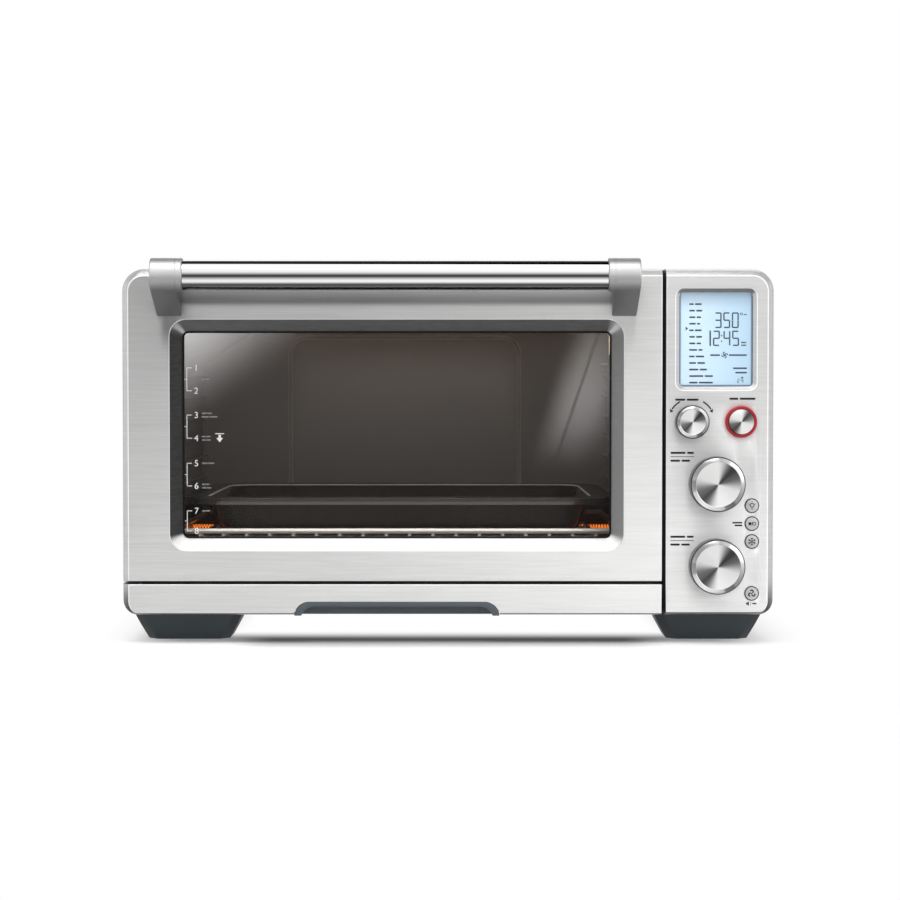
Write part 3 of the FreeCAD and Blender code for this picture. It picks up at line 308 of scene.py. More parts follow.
def seam_shade(finish, sideways, upward):
    """Shade that is dark inside the seams and at the lower corners of the rolled edge."""
    x, y, z = finish.split(finish.place)
    depth = (y - front_y).fade(0.4 * MM, 1.5 * MM)
    level_seam = z.band(seam_low, seam_low + MM, seam_high - MM, seam_high)
    upright_seam = x.band(seam_left, seam_left + 0.8 * MM, seam_right - 0.8 * MM, seam_right)
    seams = level_seam * abs(upward).fade(0.25, 0.5) + upright_seam * abs(sideways).fade(0.25, 0.5)
    corner = (1.0 - z.fade(26 * MM, 60 * MM)) * abs(sideways).fade(0.3, 0.6)
    return (1.0 - seams.least(1.0) * depth * 0.95) * (1.0 - corner * 0.92)


def door_shade(finish):
    """Painted shade of the door: darker to the upper left, a painted shadow under the handle and
    beside the left arm, and a painted lighter band over the window.
    """
    x, _, z = finish.split(finish.place)
    share = ((x + 0.258) / 0.427).most(0.0)
    painted_gradient = share * 0.05 + share * share * 0.23 + 0.80 - z * 1.28
    under_bar = z.fade(0.2825, 0.2875) * (1.0 - z.fade(0.2885, 0.300) * 0.55)
    between = x.band(-0.244, -0.232, 0.148, 0.158)
    beside_arm = x.band(-0.243, -0.236, -0.232, -0.212) * z.fade(0.243, 0.270)
    patch = finish.noise(5.0, 2.0, (1.2, 1, 4)) * 0.3 + 0.47
    shaded = (under_bar * between * patch).most(beside_arm * 0.5)
    painted_highlight_over_window = z.band(0.262, 0.272, 0.279, 0.286) * between * (0.13 - share * 0.05)
    return (painted_gradient + painted_highlight_over_window) * (1.0 - shaded)


def panel_shade(finish):
    """Shade of the control panel, which grows brighter downwards."""
    _, _, z = finish.split(finish.place)
    return (1.0 - z.fade(0.05, 0.25)) * 0.27 + 0.72


along_x = (26.0, 26.0, 900.0)
round_body = (50.0, 700.0, 50.0)
steel_front = brushed_steel(
    "brushed_front", (0.99, 0.99, 0.982), (0, 0, 1), along_x, 0.40, door_shade,
)
steel_panel = brushed_steel(
    "brushed_control_panel", (0.99, 0.99, 0.985), (0, 0, 1), along_x, 0.40, panel_shade,
)
steel_cover = brushed_steel("brushed_cover", (0.80, 0.80, 0.795), (0, 1, 0), round_body, 0.60)
print("brushed steel for the front, the control panel and the cover")

# %% [markdown]
# ## Polished and turned metal
# The handle is a polished tube. Its brackets are satin castings; both carry a painted shade
# and painted reflection bands round them. The faces of the dials are turned on a lathe, so their
# scratches are circles, and each face shows bright and dark wedges that meet in its middle: a
# painted reflection, as are the arcs on each bevel.

# %% Polished, satin and turned metal
def plain_metal(name, colour, roughness, metallic=1.0):
    """Metal with a faint change of roughness over it, as handling leaves."""
    finish = Finish(name)
    cloud = finish.noise(60.0, 3.0)
    return finish.surface(
        Base_Color=finish.tint(cloud, scaled(colour, 0.93), colour),
        Metallic=metallic,
        Roughness=(cloud - 0.5) * 0.06 + roughness,
    )


def painted_reflection_lobes(u, v, angle):
    """Two painted bright wedges of reflection that lie opposite each other, at an angle in degrees;
    from 0 to 1.
    """
    turn = math.radians(2 * angle)
    return (u * u - v * v) * (0.5 * math.cos(turn)) + u * v * math.sin(turn) + 0.5


def round_middle(finish, centre):
    """Direction away from a middle, as u, v and a vector, and the distance from it."""
    x, _, z = finish.split(finish.place)
    spoke = finish.join(x - centre[0], 0.0, z - centre[2])
    outward = finish.vector("NORMALIZE", spoke)
    u, _, v = finish.split(outward)
    return u, v, outward, finish.vector("LENGTH", spoke, out=1)


def turned_metal(name, colour, centre):
    """Metal turned about an axis that points at the reader, through a centre, with a painted
    reflection in its colour.
    """
    finish = Finish(name)
    u, v, outward, radius = round_middle(finish, centre)
    values = {1: radius, "Scale": 1900.0}
    rings = finish.node("ShaderNodeTexNoise", {"noise_dimensions": "1D"}, values)
    # Painted reflection: two bright wedges, two weaker side lobes, and a face a little darker
    # towards its top.
    painted_wedge = painted_reflection_lobes(u, v, 125).fade(0.0, 0.72)
    side = painted_reflection_lobes(u, v, 15).fade(0.75, 1.0) * 0.10
    shade = painted_wedge * (rings * 0.2 + 0.85) + side - v * 0.03
    return finish.surface(
        Base_Color=finish.tint(shade, scaled(colour, 0.05), colour),
        Metallic=0.35,
        Roughness=(rings - 0.5) * 0.08 + 0.22,
        Normal=finish.lean(outward, finish.scatter(radius) * 0.30 + (rings - 0.5) * 0.12),
    )


def bevel_metal(name, centre):
    """Polished bevel round a dial, with two painted bright arcs of reflection and three short
    painted dark ones.
    """
    finish = Finish(name)
    u, v, _, _ = round_middle(finish, centre)
    painted_arcs = painted_reflection_lobes(u, v, 47) * 0.62 + 0.25
    for angle, share in ((75, 0.45), (183, 0.5), (299, 0.75)):
        turn = math.radians(angle)
        near = (u * math.cos(turn) + v * math.sin(turn)).fade(0.955, 0.99)
        painted_arcs = painted_arcs * (1.0 - near * share)
    grain = finish.noise(300.0, 2.0)
    return finish.surface(
        Base_Color=finish.tint(painted_arcs + (grain - 0.5) * 0.05, 0.05, 1.0),
        Metallic=0.4,
        Roughness=grain * 0.06 + 0.12,
    )


def handle_metal(name, radius, shade, metallic, roughness):
    """Metal of the handle with a painted shade and reflection round it; shade takes a height, from
    -1 at its foot to 1 at its top.
    """
    finish = Finish(name)
    height = (finish.split(finish.place)[2] - bar_z) / radius
    cloud = finish.noise(60.0, 3.0)
    return finish.surface(
        Base_Color=finish.tint(shade(height) + (cloud - 0.5) * 0.02, 0.0, 0.96),
        Metallic=metallic,
        Roughness=(cloud - 0.5) * 0.04 + roughness,
    )


def tube_shade(height):
    """Painted reflection and shade: a dark line near the top and a dark underside."""
    lower_dark = (1.0 - height.fade(-0.56, -0.66)) * 0.80 + 0.20
    upper_dark = 1.0 - height.fade(0.48, 0.74) * 0.92 + height.fade(0.80, 0.88) * 0.50
    return lower_dark * upper_dark * 0.80


def casting_shade(height):
    """Painted shade: brightest a little above the middle, darker below and towards the top."""
    lower_half = height.fade(-1.0, -0.35) * 0.23 + height.fade(-0.40, 0.05) * 0.25 + 0.155
    return lower_half * (1.0 - height.fade(0.42, 0.92) * 0.62)


bar_low, bar_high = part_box("handle_bar")
_, bar_y, bar_z = middle_of("handle_bar")
bar_radius = (bar_high[2] - bar_low[2]) / 2
collar_radius = 14.0 * MM
polished = handle_metal("polished_tube", bar_radius, tube_shade, 1.0, 0.06)
satin = handle_metal("satin_casting", collar_radius, casting_shade, 0.4, 0.42)
chrome = plain_metal("bright_wire", (0.86, 0.85, 0.83), 0.14, 0.30)
dull_steel = plain_metal("dull_steel", (0.50, 0.50, 0.50), 0.38)
print("metals ready")

# %% [markdown]
# ## Coated sheet, plastic, rubber, enamel and glass
# None of these is one flat colour. Coated sheet has a faint orange-peel and moulded plastic a
# fine grain. Enamel and the coated walls get a painted highlight line where their rounded edges
# turn to the light, and the feet a painted shade on their chamfered ends.

# %% Other finishes
def grained(name, colour, roughness, grain, bump, change=0.12, metallic=0.0, gloss=0.5):
    """Moulded or coated surface with a fine grain and a slow change of shade."""
    finish = Finish(name)
    fine = finish.noise(grain, 2.0)
    slow = finish.noise(14.0, 2.0)
    values = {"Strength": bump, "Distance": 0.0002, "Height": fine}
    shade = slow * 0.7 + fine * 0.3
    return finish.surface(
        Base_Color=finish.tint(shade, scaled(colour, 1 - change), scaled(colour, 1 + change)),
        Metallic=metallic,
        Roughness=(fine - 0.5) * 0.12 + roughness,
        Specular_IOR_Level=gloss,
        Normal=finish.node("ShaderNodeBump", None, values),
    )


coated_sheet = grained("coated_sheet", (0.46, 0.47, 0.48), 0.42, 300.0, 0.1, 0.06, 0.6)
cavity_coat = grained("cavity_coating", (0.27, 0.262, 0.258), 0.38, 900.0, 0.02, 0.05, 0.35)
slate_plastic = grained("slate_plastic", (0.026, 0.036, 0.043), 0.45, 1300.0, 0.2)
grip_plastic = grained("grip_plastic", (0.085, 0.104, 0.118), 0.42, 1300.0, 0.2)
black_plastic = grained("black_plastic", (0.003,) * 3, 0.6, 1300.0, 0.2, gloss=0.15)
rubber = grained("door_rubber", (0.006,) * 3, 0.65, 900.0, 0.2, gloss=0.2)
ceramic = grained("element_ceramic", (0.78, 0.74, 0.68), 0.6, 700.0, 0.2)
board_green = grained("circuit_board", (0.02, 0.14, 0.05), 0.35, 260.0, 0.2)
print_black = grained("panel_ink", (0.006, 0.006, 0.007), 0.55, 1500.0, 0.05)
print_white = grained("glass_ink", (0.86,) * 3, 0.5, 1500.0, 0.05, 0.03)
print_grey = grained("faint_glass_ink", (0.22,) * 3, 0.5, 1500.0, 0.05, 0.03)
display_ink = grained("display_ink", (0.060, 0.080, 0.105), 0.5, 1500.0, 0.02)
print("coated, moulded and printed finishes ready")


def lit_edges(name, colour, light, low, high, roughness, outward=False):
    """Coated sheet with a painted highlight line on its rounded edges, where they tilt between two
    limits.
    """
    finish = Finish(name)
    across, _, upward = finish.facing()
    tilt = abs(across).most(upward) if outward else upward
    line = tilt.band(low, low + 0.15, high - 0.1, high)
    specks = finish.noise(1600.0, 2.0)
    slow = finish.noise(14.0, 2.0)
    base = finish.tint(slow * 0.6 + specks * 0.4, scaled(colour, 0.9), scaled(colour, 1.1))
    return finish.surface(
        Base_Color=finish.blend(line, base, (*light, 1)),
        Metallic=0.1,
        Roughness=(specks - 0.5) * 0.1 + roughness,
    )


# Painted highlight lines: on the rolled rim of the pan, and on the pressed edges of the cavity's
# rear wall that face up or sideways.
enamel = lit_edges(
    "pan_enamel", (0.042, 0.038, 0.035), (0.78, 0.78, 0.79), 0.56, 0.96, 0.25,
)
wall_coat = lit_edges(
    "cavity_wall_coating", (0.22, 0.213, 0.209), (0.42, 0.40, 0.39), 0.12, 1.2, 0.45, True,
)


def foot_plastic_finish(name):
    """Moulded slate plastic with a painted shade on its chamfered ends, which turn away from the
    light.
    """
    finish = Finish(name)
    across, _, _ = finish.facing()
    fine = finish.noise(1300.0, 2.0)
    painted_end_shade = abs(across).fade(0.35, 0.75)
    base = finish.tint(fine, (0.030, 0.041, 0.049), (0.037, 0.050, 0.059))
    return finish.surface(
        Base_Color=finish.blend(painted_end_shade * 0.75, base, (0.004, 0.006, 0.007, 1)),
        Roughness=(fine - 0.5) * 0.1 + 0.45,
        Specular_IOR_Level=0.4,
    )


foot_plastic = foot_plastic_finish("foot_plastic")


def clear_and_shine(finish, tint, gloss):
    """The two shaders that glass mixes: what it lets through and what it mirrors."""
    clear = finish.node("ShaderNodeBsdfTransparent", None, {0: (*tint, 1)})
    shine = finish.node("ShaderNodeBsdfGlossy", None, {0: (1, 1, 1, 1), "Roughness": gloss})
    return clear, shine


def clear_glass(name, tint, gloss=0.05):
    """Glass that is looked through: a tint with a clean reflection on top."""
    finish = Finish(name)
    smudge = finish.noise(9.0, 3.0)
    clear, shine = clear_and_shine(finish, tint, gloss)
    return finish.done(finish.mix(finish.mirrored(1.45) * (smudge * 0.3 + 0.85), clear, shine))


def pane_glass(name, tint):
    """Door glass: tinted, glossy, with a painted glare, a white veil, to its upper left and painted
    reflection stripes to its right.
    """
    finish = Finish(name)
    x, _, z = finish.split(finish.place)
    # Painted reflection: a glare strongest in the upper left corner, and slanted stripes with a
    # thin dark line to the right.
    near = (1.924 - (x - left_x) * 6.9 - (top_z - z) * 10.3).most(0.0)
    slant = x - (z - 0.25) * 0.34
    dark_line = slant.band(0.1215, 0.1225, 0.1245, 0.1255)
    reflection_stripes = slant.fade(0.096, 0.124) * (1.0 - slant.fade(0.138, 0.160) * 0.6)
    reflection_stripes = reflection_stripes * (1.0 - dark_line * 0.45)
    reflection_stripes = reflection_stripes * z.fade(0.14, 0.215) * (1.0 - z.fade(0.215, 0.265) * 0.40) * 0.16
    smudge = finish.noise(9.0, 3.0)
    glare_share = near * near * near + reflection_stripes + smudge * 0.006
    clear, shine = clear_and_shine(finish, tint, 0.04)
    painted_glare = finish.node("ShaderNodeBsdfDiffuse", None, {0: (0.90, 0.88, 0.875, 1)})
    with_painted_glare = finish.mix(glare_share, clear, painted_glare)
    return finish.done(finish.mix(finish.mirrored(1.30) * (smudge * 0.3 + 0.85), with_painted_glare, shine))


def glowing(name, colour, strength, base):
    """Hot or lit piece with an uneven glow."""
    finish = Finish(name)
    uneven = finish.noise(120.0, 2.0)
    return finish.surface(
        Base_Color=(*base, 1),
        Roughness=(uneven - 0.5) * 0.1 + 0.35,
        Emission_Color=finish.tint(uneven, scaled(colour, 0.7), colour),
        Emission_Strength=strength,
    )


door_pane = pane_glass("door_pane", (0.80, 0.79, 0.78))
display_lens = clear_glass("display_lens", (0.97, 0.985, 1.0))
quartz = clear_glass("quartz_tube", (0.96, 0.80, 0.62), 0.2)
hot_wire = glowing("hot_wire", (1.0, 0.28, 0.04), 2.2, (0.3, 0.1, 0.05))
cold_wire = plain_metal("resting_wire", (0.30, 0.29, 0.28), 0.4)
red_ring = glowing("red_ring", (0.62, 0.03, 0.03), 0.02, (0.42, 0.020, 0.025))
lamp_light = glowing("lamp_bulb", (1.0, 0.86, 0.66), 1.2, (0.9, 0.85, 0.8))
print("glass and glow ready")

# %% [markdown]
# ## Mesh helpers
# A pressed sheet is a run of closed outlines, each a little smaller and deeper than the one
# before it. Joining them gives the rolled edge and the bevel, and the flat face between
# outlines is filled round its holes. A wall thickness is added at the end.

# %% Meshes from outlines
scene = bpy.context.scene
UP, FACING, BACKWARD = (0, 0, 1), (0, -1, 0), (0, 1, 0)


def around(x, z, radius, degrees):
    """Point at a distance and an angle from a middle."""
    angle = math.radians(degrees)
    return x + radius * math.cos(angle), z + radius * math.sin(angle)


def arc(centre, radii, start, end, steps):
    """Points along part of an ellipse, angles in degrees."""
    points = []
    for index in range(steps + 1):
        angle = math.radians(start + (end - start) * index / steps)
        across, along = radii[0] * math.cos(angle), radii[1] * math.sin(angle)
        points.append((centre[0] + across, centre[1] + along))
    return points


def rounded(x, z, width, height, corner, steps):
    """Outline of a rounded rectangle about a middle point."""
    points = []
    for number, (side, rise) in enumerate(((1, 1), (-1, 1), (-1, -1), (1, -1))):
        middle = (x + side * (width / 2 - corner), z + rise * (height / 2 - corner))
        points += arc(middle, (corner, corner), 90 * number, 90 * number + 90, steps)
    return points


def grown(x, z, size, grow, steps):
    """Rounded rectangle of a width, a height and a corner, grown on all sides."""
    width, height, corner = size
    return rounded(x, z, width + 2 * grow, height + 2 * grow, corner + grow, steps)


def circle(x, z, radius, steps):
    return arc((x, z), (radius, radius), 0, 360 - 360 / steps, steps - 1)


def rectangle(x0, x1, z0, z1):
    return [(x1, z1), (x0, z1), (x0, z0), (x1, z0)]


def upright(points, y):
    return [(x, y, z) for x, z in points]


def level(points, z):
    return [(x, y, z) for x, y in points]


def add_ring(mesh, points):
    return [mesh.verts.new(point) for point in points]


def join_rings(mesh, rings):
    """Four-sided faces between each two rings."""
    for low, high in zip(rings, rings[1:]):
        for index in range(len(low)):
            following = (index + 1) % len(low)
            mesh.faces.new((low[index], low[following], high[following], high[index]))


def loft(mesh, outlines, stand=upright, closed=False):
    """Rings of outlines at their depths or heights, each joined to the next."""
    rings = [add_ring(mesh, stand(points, place)) for points, place in outlines]
    join_rings(mesh, rings + rings[:1] if closed else rings)
    return rings


def close_ends(mesh, rings):
    """A face on the first and on the last ring."""
    mesh.faces.new(rings[0][::-1])
    mesh.faces.new(rings[-1])


def fill_between(mesh, outer, holes=()):
    """Flat face inside an outline and round its holes."""
    edges = []
    for ring in (outer, *holes):
        for index, vertex in enumerate(ring):
            pair = (vertex, ring[(index + 1) % len(ring)])
            edges.append(mesh.edges.get(pair) or mesh.edges.new(pair))
    bmesh.ops.triangle_fill(mesh, use_beauty=True, edges=edges)


def linked(name, data):
    """Object in the scene with its data."""
    made = bpy.data.objects.new(name, data)
    scene.collection.objects.link(made)
    return made


def mesh_object(mesh, name):
    data = bpy.data.meshes.new(name)
    mesh.to_mesh(data)
    mesh.free()
    return linked(name, data)


def finish_mesh(mesh, name, material, body, sharp=34, face_out=None):
    """Turns the faces outwards, smooths them and makes the object, which rides on a body."""
    bmesh.ops.remove_doubles(mesh, verts=mesh.verts, dist=1.0e-7)
    bmesh.ops.recalc_face_normals(mesh, faces=mesh.faces)
    if face_out:
        direction = Vector(face_out)
        aligned = sum(face.normal.dot(direction) * face.calc_area() for face in mesh.faces)
        if aligned < 0:
            bmesh.ops.reverse_faces(mesh, faces=mesh.faces)
    made = mesh_object(mesh, name)
    made.data.materials.append(material)
    smooth(made, sharp)
    if body:
        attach(made, body)
    return made


def smooth(made, sharp):
    made.data.polygons.foreach_set("use_smooth", [True] * len(made.data.polygons))
    made.data.set_sharp_from_angle(angle=math.radians(sharp))


def settle(made, sharp=34):
    """Turns what the modifiers make into the piece's own mesh."""
    graph = bpy.context.evaluated_depsgraph_get()
    settled = bpy.data.meshes.new_from_object(made.evaluated_get(graph))
    made.modifiers.clear()
    made.data = settled
    smooth(made, sharp)


def change(made, kind, **settings):
    """Runs one modifier on a piece."""
    step = made.modifiers.new("step", kind)
    for name, value in settings.items():
        setattr(step, name, value)
    settle(made)


def thicken(made, thickness):
    """Gives a sheet its wall, on the side away from its faces."""
    change(made, "SOLIDIFY", thickness=thickness, offset=-1, use_even_offset=True)


def ease_edges(made, width, angle=30):
    """Rounds the hard edges of a piece, as a mould or a file does."""
    limit = math.radians(angle)
    change(made, "BEVEL", width=width, segments=3, limit_method="ANGLE", angle_limit=limit)


print("mesh helpers ready")

# %% [markdown]
# ## The rolled front
# Door, drawer front and control panel meet the sides in a rolled band. It starts at a crease,
# where a thin painted highlight line lies, and turns until it is in line with the sides; the
# band carries a painted shade and a painted dark rim. Cut sides, next to a seam, only have a
# small radius. Each outline has its own inset on each side.

# %% Panels with rolled edges
band = 6.2 * MM
band_depth = 13.0 * MM
crease = 0.9 * MM
start_angle = math.radians(30)
ROLLED, CUT = 1, 1.1


def band_inset(depth):
    """Inset of the rolled band at a depth behind the face."""
    left = max(0.0, 1 - depth / band_depth) * math.cos(start_angle)
    return band * (1 - math.sqrt(1 - left * left)) / (1 - math.sin(start_angle))


def eased(radius, depth):
    """Inset of a small round at a depth behind the face."""
    rest = max(0.0, radius - depth)
    return radius - math.sqrt(radius * radius - rest * rest)


def crease_steps(inset_at, edge):
    """Inset and depth of points that ease the crease between the face and a slope."""
    reach = 0.6 * MM
    steps = []
    for t in (0.0, 0.2, 0.4, 0.6, 0.8, 1.0):
        inset = (1 - t) ** 2 * (edge + crease) + 2 * t * (1 - t) * edge + t * t * inset_at(reach)
        steps.append((inset, t * t * reach))
    return steps


def roll_steps(total):
    """Inset and depth of every outline of a rolled panel, from the face to its back edge."""
    steps = crease_steps(band_inset, band)
    for depth in (1.2, 2.2, 3.5, 5.0, 7.0, 9.0, 11.0):
        steps.append((band_inset(depth * MM), depth * MM))
    return steps + [(0.0, band_depth), (0.0, total)]


def panel_outline(region, corners, insets):
    """Outline of a panel with its own inset on each side: left, right, bottom, top."""
    x0, x1, z0, z1 = region
    left, right, bottom, top = insets
    least = 0.3 * MM
    points = []
    spots = (
        (x1, -1, right, z1, -1, top), (x0, 1, left, z1, -1, top),
        (x0, 1, left, z0, 1, bottom), (x1, -1, right, z0, 1, bottom),
    )
    for number, (x, inward, side, z, upward, end) in enumerate(spots):
        corner = corners[number]
        across = max(corner - side, least)
        along = max(corner - end, least)
        middle = (x + inward * (side + across), z + upward * (end + along))
        steps = 12 if corner else 3
        points += arc(middle, (across, along), 90 * number, 90 * number + 90, steps)
    return points


def rolled_panel(name, material, body, node, region, corners, sides, holes=()):
    """Rolled panel as deep as its node, with holes as runs of outlines.

    A side is a share of the rolled band up to 1, or above that a small radius in millimetres.
    """
    low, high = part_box(node)
    outlines = []
    for inset, depth in roll_steps(high[1] - low[1]):
        insets = [inset * side if side <= 1 else eased(side * MM, depth) for side in sides]
        outlines.append((panel_outline(region, corners, insets), front_y + depth))
    mesh = bmesh.new()
    outer, *inner = [loft(mesh, run)[0] for run in (outlines, *holes)]
    fill_between(mesh, outer, inner)
    made = finish_mesh(mesh, name, material, body, face_out=FACING)
    thicken(made, sheet)
    return made


def pressed_hole(x, z, size, slope, depth):
    """Outlines of a bevelled opening, from the face inwards."""

    def inset_at(reach):
        return -slope * reach / depth

    steps = crease_steps(inset_at, 0.0) + [(-slope, depth)]
    return [(grown(x, z, size, inset, 10), front_y + reach) for inset, reach in steps]


print("rolled panels ready")

# %% [markdown]
# ## Solids for the smaller pieces
# Turned pieces are a profile swept round an axis. Moulded ones are an outline pushed through
# a thickness. What a press punches out is cut with a boolean, as the punch does.

# %% Turned pieces, prisms and cuts
def turned_piece(name, material, body, start, axis, profile, steps, sharp=34):
    """Closed piece round an axis; the profile holds pairs of distance and radius."""
    mesh = bmesh.new()
    ahead = Vector(axis)
    side = Vector(UP)
    across = ahead.cross(side)
    rings = []
    for distance, radius in profile:
        middle = Vector(start) + ahead * distance
        ring = []
        for index in range(steps):
            angle = 2 * math.pi * index / steps
            ring.append(middle + (side * math.cos(angle) + across * math.sin(angle)) * radius)
        rings.append(add_ring(mesh, ring))
    join_rings(mesh, rings)
    close_ends(mesh, rings)
    return finish_mesh(mesh, name, material, body, sharp)


def millimetres(pairs):
    return [(first * MM, second * MM) for first, second in pairs]


def prism(mesh, points, low, high, sideways=False):
    """Closed prism: an outline pushed along Y, or sideways along X, between two places."""
    rings = []
    for depth in (low, high):
        places = [(depth, a, b) if sideways else (a, depth, b) for a, b in points]
        rings.append(add_ring(mesh, places))
    join_rings(mesh, rings)
    close_ends(mesh, rings)


def cutter(outlines, low, high):
    """Loose solid for a boolean: outlines pushed along Y between two places."""
    mesh = bmesh.new()
    for points in outlines:
        prism(mesh, points, low, high)
    bmesh.ops.recalc_face_normals(mesh, faces=mesh.faces)
    return mesh_object(mesh, "cutter")


def cut(made, tool, solver="EXACT"):
    """Takes the tool's shape out of a piece and throws the tool away."""
    change(made, "BOOLEAN", object=tool, solver=solver)
    bpy.data.objects.remove(tool)


def arc_through(first, second, third, steps):
    """Points of the circle through three points, from the first to the third."""
    ax, az = first
    bx, bz = second
    cx, cz = third
    twice = 2 * (ax * (bz - cz) + bx * (cz - az) + cx * (az - bz))
    squares = [x * x + z * z for x, z in (first, second, third)]
    x = (squares[0] * (bz - cz) + squares[1] * (cz - az) + squares[2] * (az - bz)) / twice
    z = (squares[0] * (cx - bx) + squares[1] * (ax - cx) + squares[2] * (bx - ax)) / twice
    radius = math.hypot(ax - x, az - z)
    turns = [math.atan2(pz - z, px - x) for px, pz in (first, second, third)]
    span = sum(math.remainder(b - a, 2 * math.pi) for a, b in zip(turns, turns[1:]))
    angles = [turns[0] + span * index / steps for index in range(steps + 1)]
    return [(x + radius * math.cos(angle), z + radius * math.sin(angle)) for angle in angles]


print("turned pieces, prisms and cuts ready")

# %% [markdown]
# ## What repeats
# Wires, heating coils, quartz tubes, vent slots and screws are one shape copied onto points.
# A geometry tree does that: it makes the shape from named sizes, places a copy on each point
# of a small mesh and turns the copies into real faces.

# %% Geometry trees
QUARTER = math.pi / 2


class Pattern(Tree):
    """Geometry tree with named sizes that puts copies of one shape on points."""

    def __init__(self, name, labels):
        super().__init__(bpy.data.node_groups.new(name, "GeometryNodeTree"))
        sockets = [("Points", "INPUT", "Geometry")]
        sockets += [(label, "INPUT", "Float") for label in labels]
        sockets += [("Geometry", "OUTPUT", "Geometry")]
        for label, way, kind in sockets:
            self.tree.interface.new_socket(label, in_out=way, socket_type="NodeSocket" + kind)
        self.points, *self.sizes = self.outputs("NodeGroupInput", ("Points", *labels))

    def sweep(self, line, radius, corners):
        """Round wire with closed ends along a line."""
        values = {"Resolution": corners, "Radius": radius}
        ring = self.node("GeometryNodeCurvePrimitiveCircle", None, values)
        values = {"Curve": line, "Profile Curve": ring, "Fill Caps": True}
        return self.node("GeometryNodeCurveToMesh", None, values)

    def move(self, shape, place=(0, 0, 0), turn=(0, 0, 0)):
        values = {"Geometry": shape, "Translation": place, "Rotation": turn}
        return self.node("GeometryNodeTransform", None, values)

    def disc(self, radius, depth):
        values = {"Vertices": 24, "Radius": radius, "Depth": depth}
        return self.node("GeometryNodeMeshCylinder", {"fill_type": "NGON"}, values)

    def solid(self, operation, values):
        settings = {"operation": operation, "solver": "EXACT"}
        return self.node("GeometryNodeMeshBoolean", settings, values)

    def copy(self, shape):
        """Copies the shape onto the points and closes the tree."""
        values = {"Points": self.points, "Instance": shape}
        copies = self.node("GeometryNodeInstanceOnPoints", None, values)
        faces = self.node("GeometryNodeRealizeInstances", None, {0: copies})
        self.paint = self.node("GeometryNodeSetMaterial", None, {0: faces})
        self.node("NodeGroupOutput", None, {0: self.paint})

    def build(self, name, points, material, body, slot, *sizes):
        """Runs the tree once, with its sizes in order, and keeps the result as a plain mesh."""
        base = bpy.data.meshes.new(name)
        base.from_pydata(points, [], [])
        made = linked(name, base)
        self.paint.socket.node.inputs["Material"].default_value = material
        modifier = made.modifiers.new("pattern", "NODES")
        modifier.node_group = self.tree
        items = [item for item in self.tree.interface.items_tree if item.in_out == "INPUT"]
        for item, size in zip(items[1:], sizes):
            modifier[item.identifier] = size
        settle(made, 50)
        if body:
            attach(made, body)
        return made


def wire_pattern(name, axis):
    """Straight round wire with closed ends, lying along one axis."""
    pattern = Pattern(name, ("Length", "Radius"))
    length, radius = pattern.sizes
    half = length * 0.5
    ends = []
    for sign in (-1.0, 1.0):
        parts = [0.0, 0.0, 0.0]
        parts[axis] = half * sign
        ends.append(pattern.join(*parts))
    line = pattern.node("GeometryNodeCurvePrimitiveLine", None, dict(enumerate(ends)))
    pattern.copy(pattern.sweep(line, radius, 14))
    return pattern


def coil_tree(name):
    """Wire wound along X."""
    pattern = Pattern(name, ("Length", "Radius", "Wire", "Turns"))
    length, radius, wire, turns = pattern.sizes
    spiral = pattern.node("GeometryNodeCurveSpiral", None, {
        "Resolution": 12, "Rotations": turns, "Height": length,
        "Start Radius": radius, "End Radius": radius,
    })
    middle = pattern.join(length * -0.5, 0.0, 0.0)
    pattern.copy(pattern.move(pattern.sweep(spiral, wire, 4), middle, (0.0, QUARTER, 0.0)))
    return pattern


across_wires = wire_pattern("wires_along_x", 0)
depth_wires = wire_pattern("wires_along_y", 1)
coil_pattern = coil_tree("wound_wire")
print("wire and coil trees ready")


def slot_pattern(name, turn):
    """Upright slot with round ends, as a solid to cut with."""
    pattern = Pattern(name, ("Length", "Width", "Depth"))
    length, width, depth = pattern.sizes
    values = {"Width": width, "Height": length}
    outline = pattern.node("GeometryNodeCurvePrimitiveQuadrilateral", None, values)
    values = {"Curve": outline, "Count": 4, "Radius": width * 0.499}
    ends = pattern.node("GeometryNodeFilletCurve", {"mode": "POLY"}, values)
    face = pattern.node("GeometryNodeFillCurve", None, {0: ends})
    values = {"Mesh": face, "Offset": (0, 0, 1), "Offset Scale": depth, "Individual": False}
    body = pattern.node("GeometryNodeExtrudeMesh", None, values)
    back = pattern.node("GeometryNodeFlipFaces", None, {0: face})
    both = pattern.node("GeometryNodeJoinGeometry", None, {0: [back, body]})
    centred = pattern.move(both, pattern.join(0.0, 0.0, depth * -0.5))
    pattern.copy(pattern.move(centred, turn=turn))
    return pattern


side_slots = slot_pattern("slots_in_a_side", (QUARTER, 0.0, QUARTER))
back_slots = slot_pattern("slots_in_the_back", (QUARTER, 0.0, 0.0))


def punch(made, pattern, points, wall):
    """Cuts vent slots through a wall across a piece."""
    tool = pattern.build("slots", points, dull_steel, None, None, 26 * MM, 3 * MM, wall)
    mesh = bmesh.new()
    mesh.from_mesh(tool.data)
    bmesh.ops.remove_doubles(mesh, verts=mesh.verts, dist=1.0e-6)
    bmesh.ops.recalc_face_normals(mesh, faces=mesh.faces)
    mesh.to_mesh(tool.data)
    mesh.free()
    cut(made, tool)


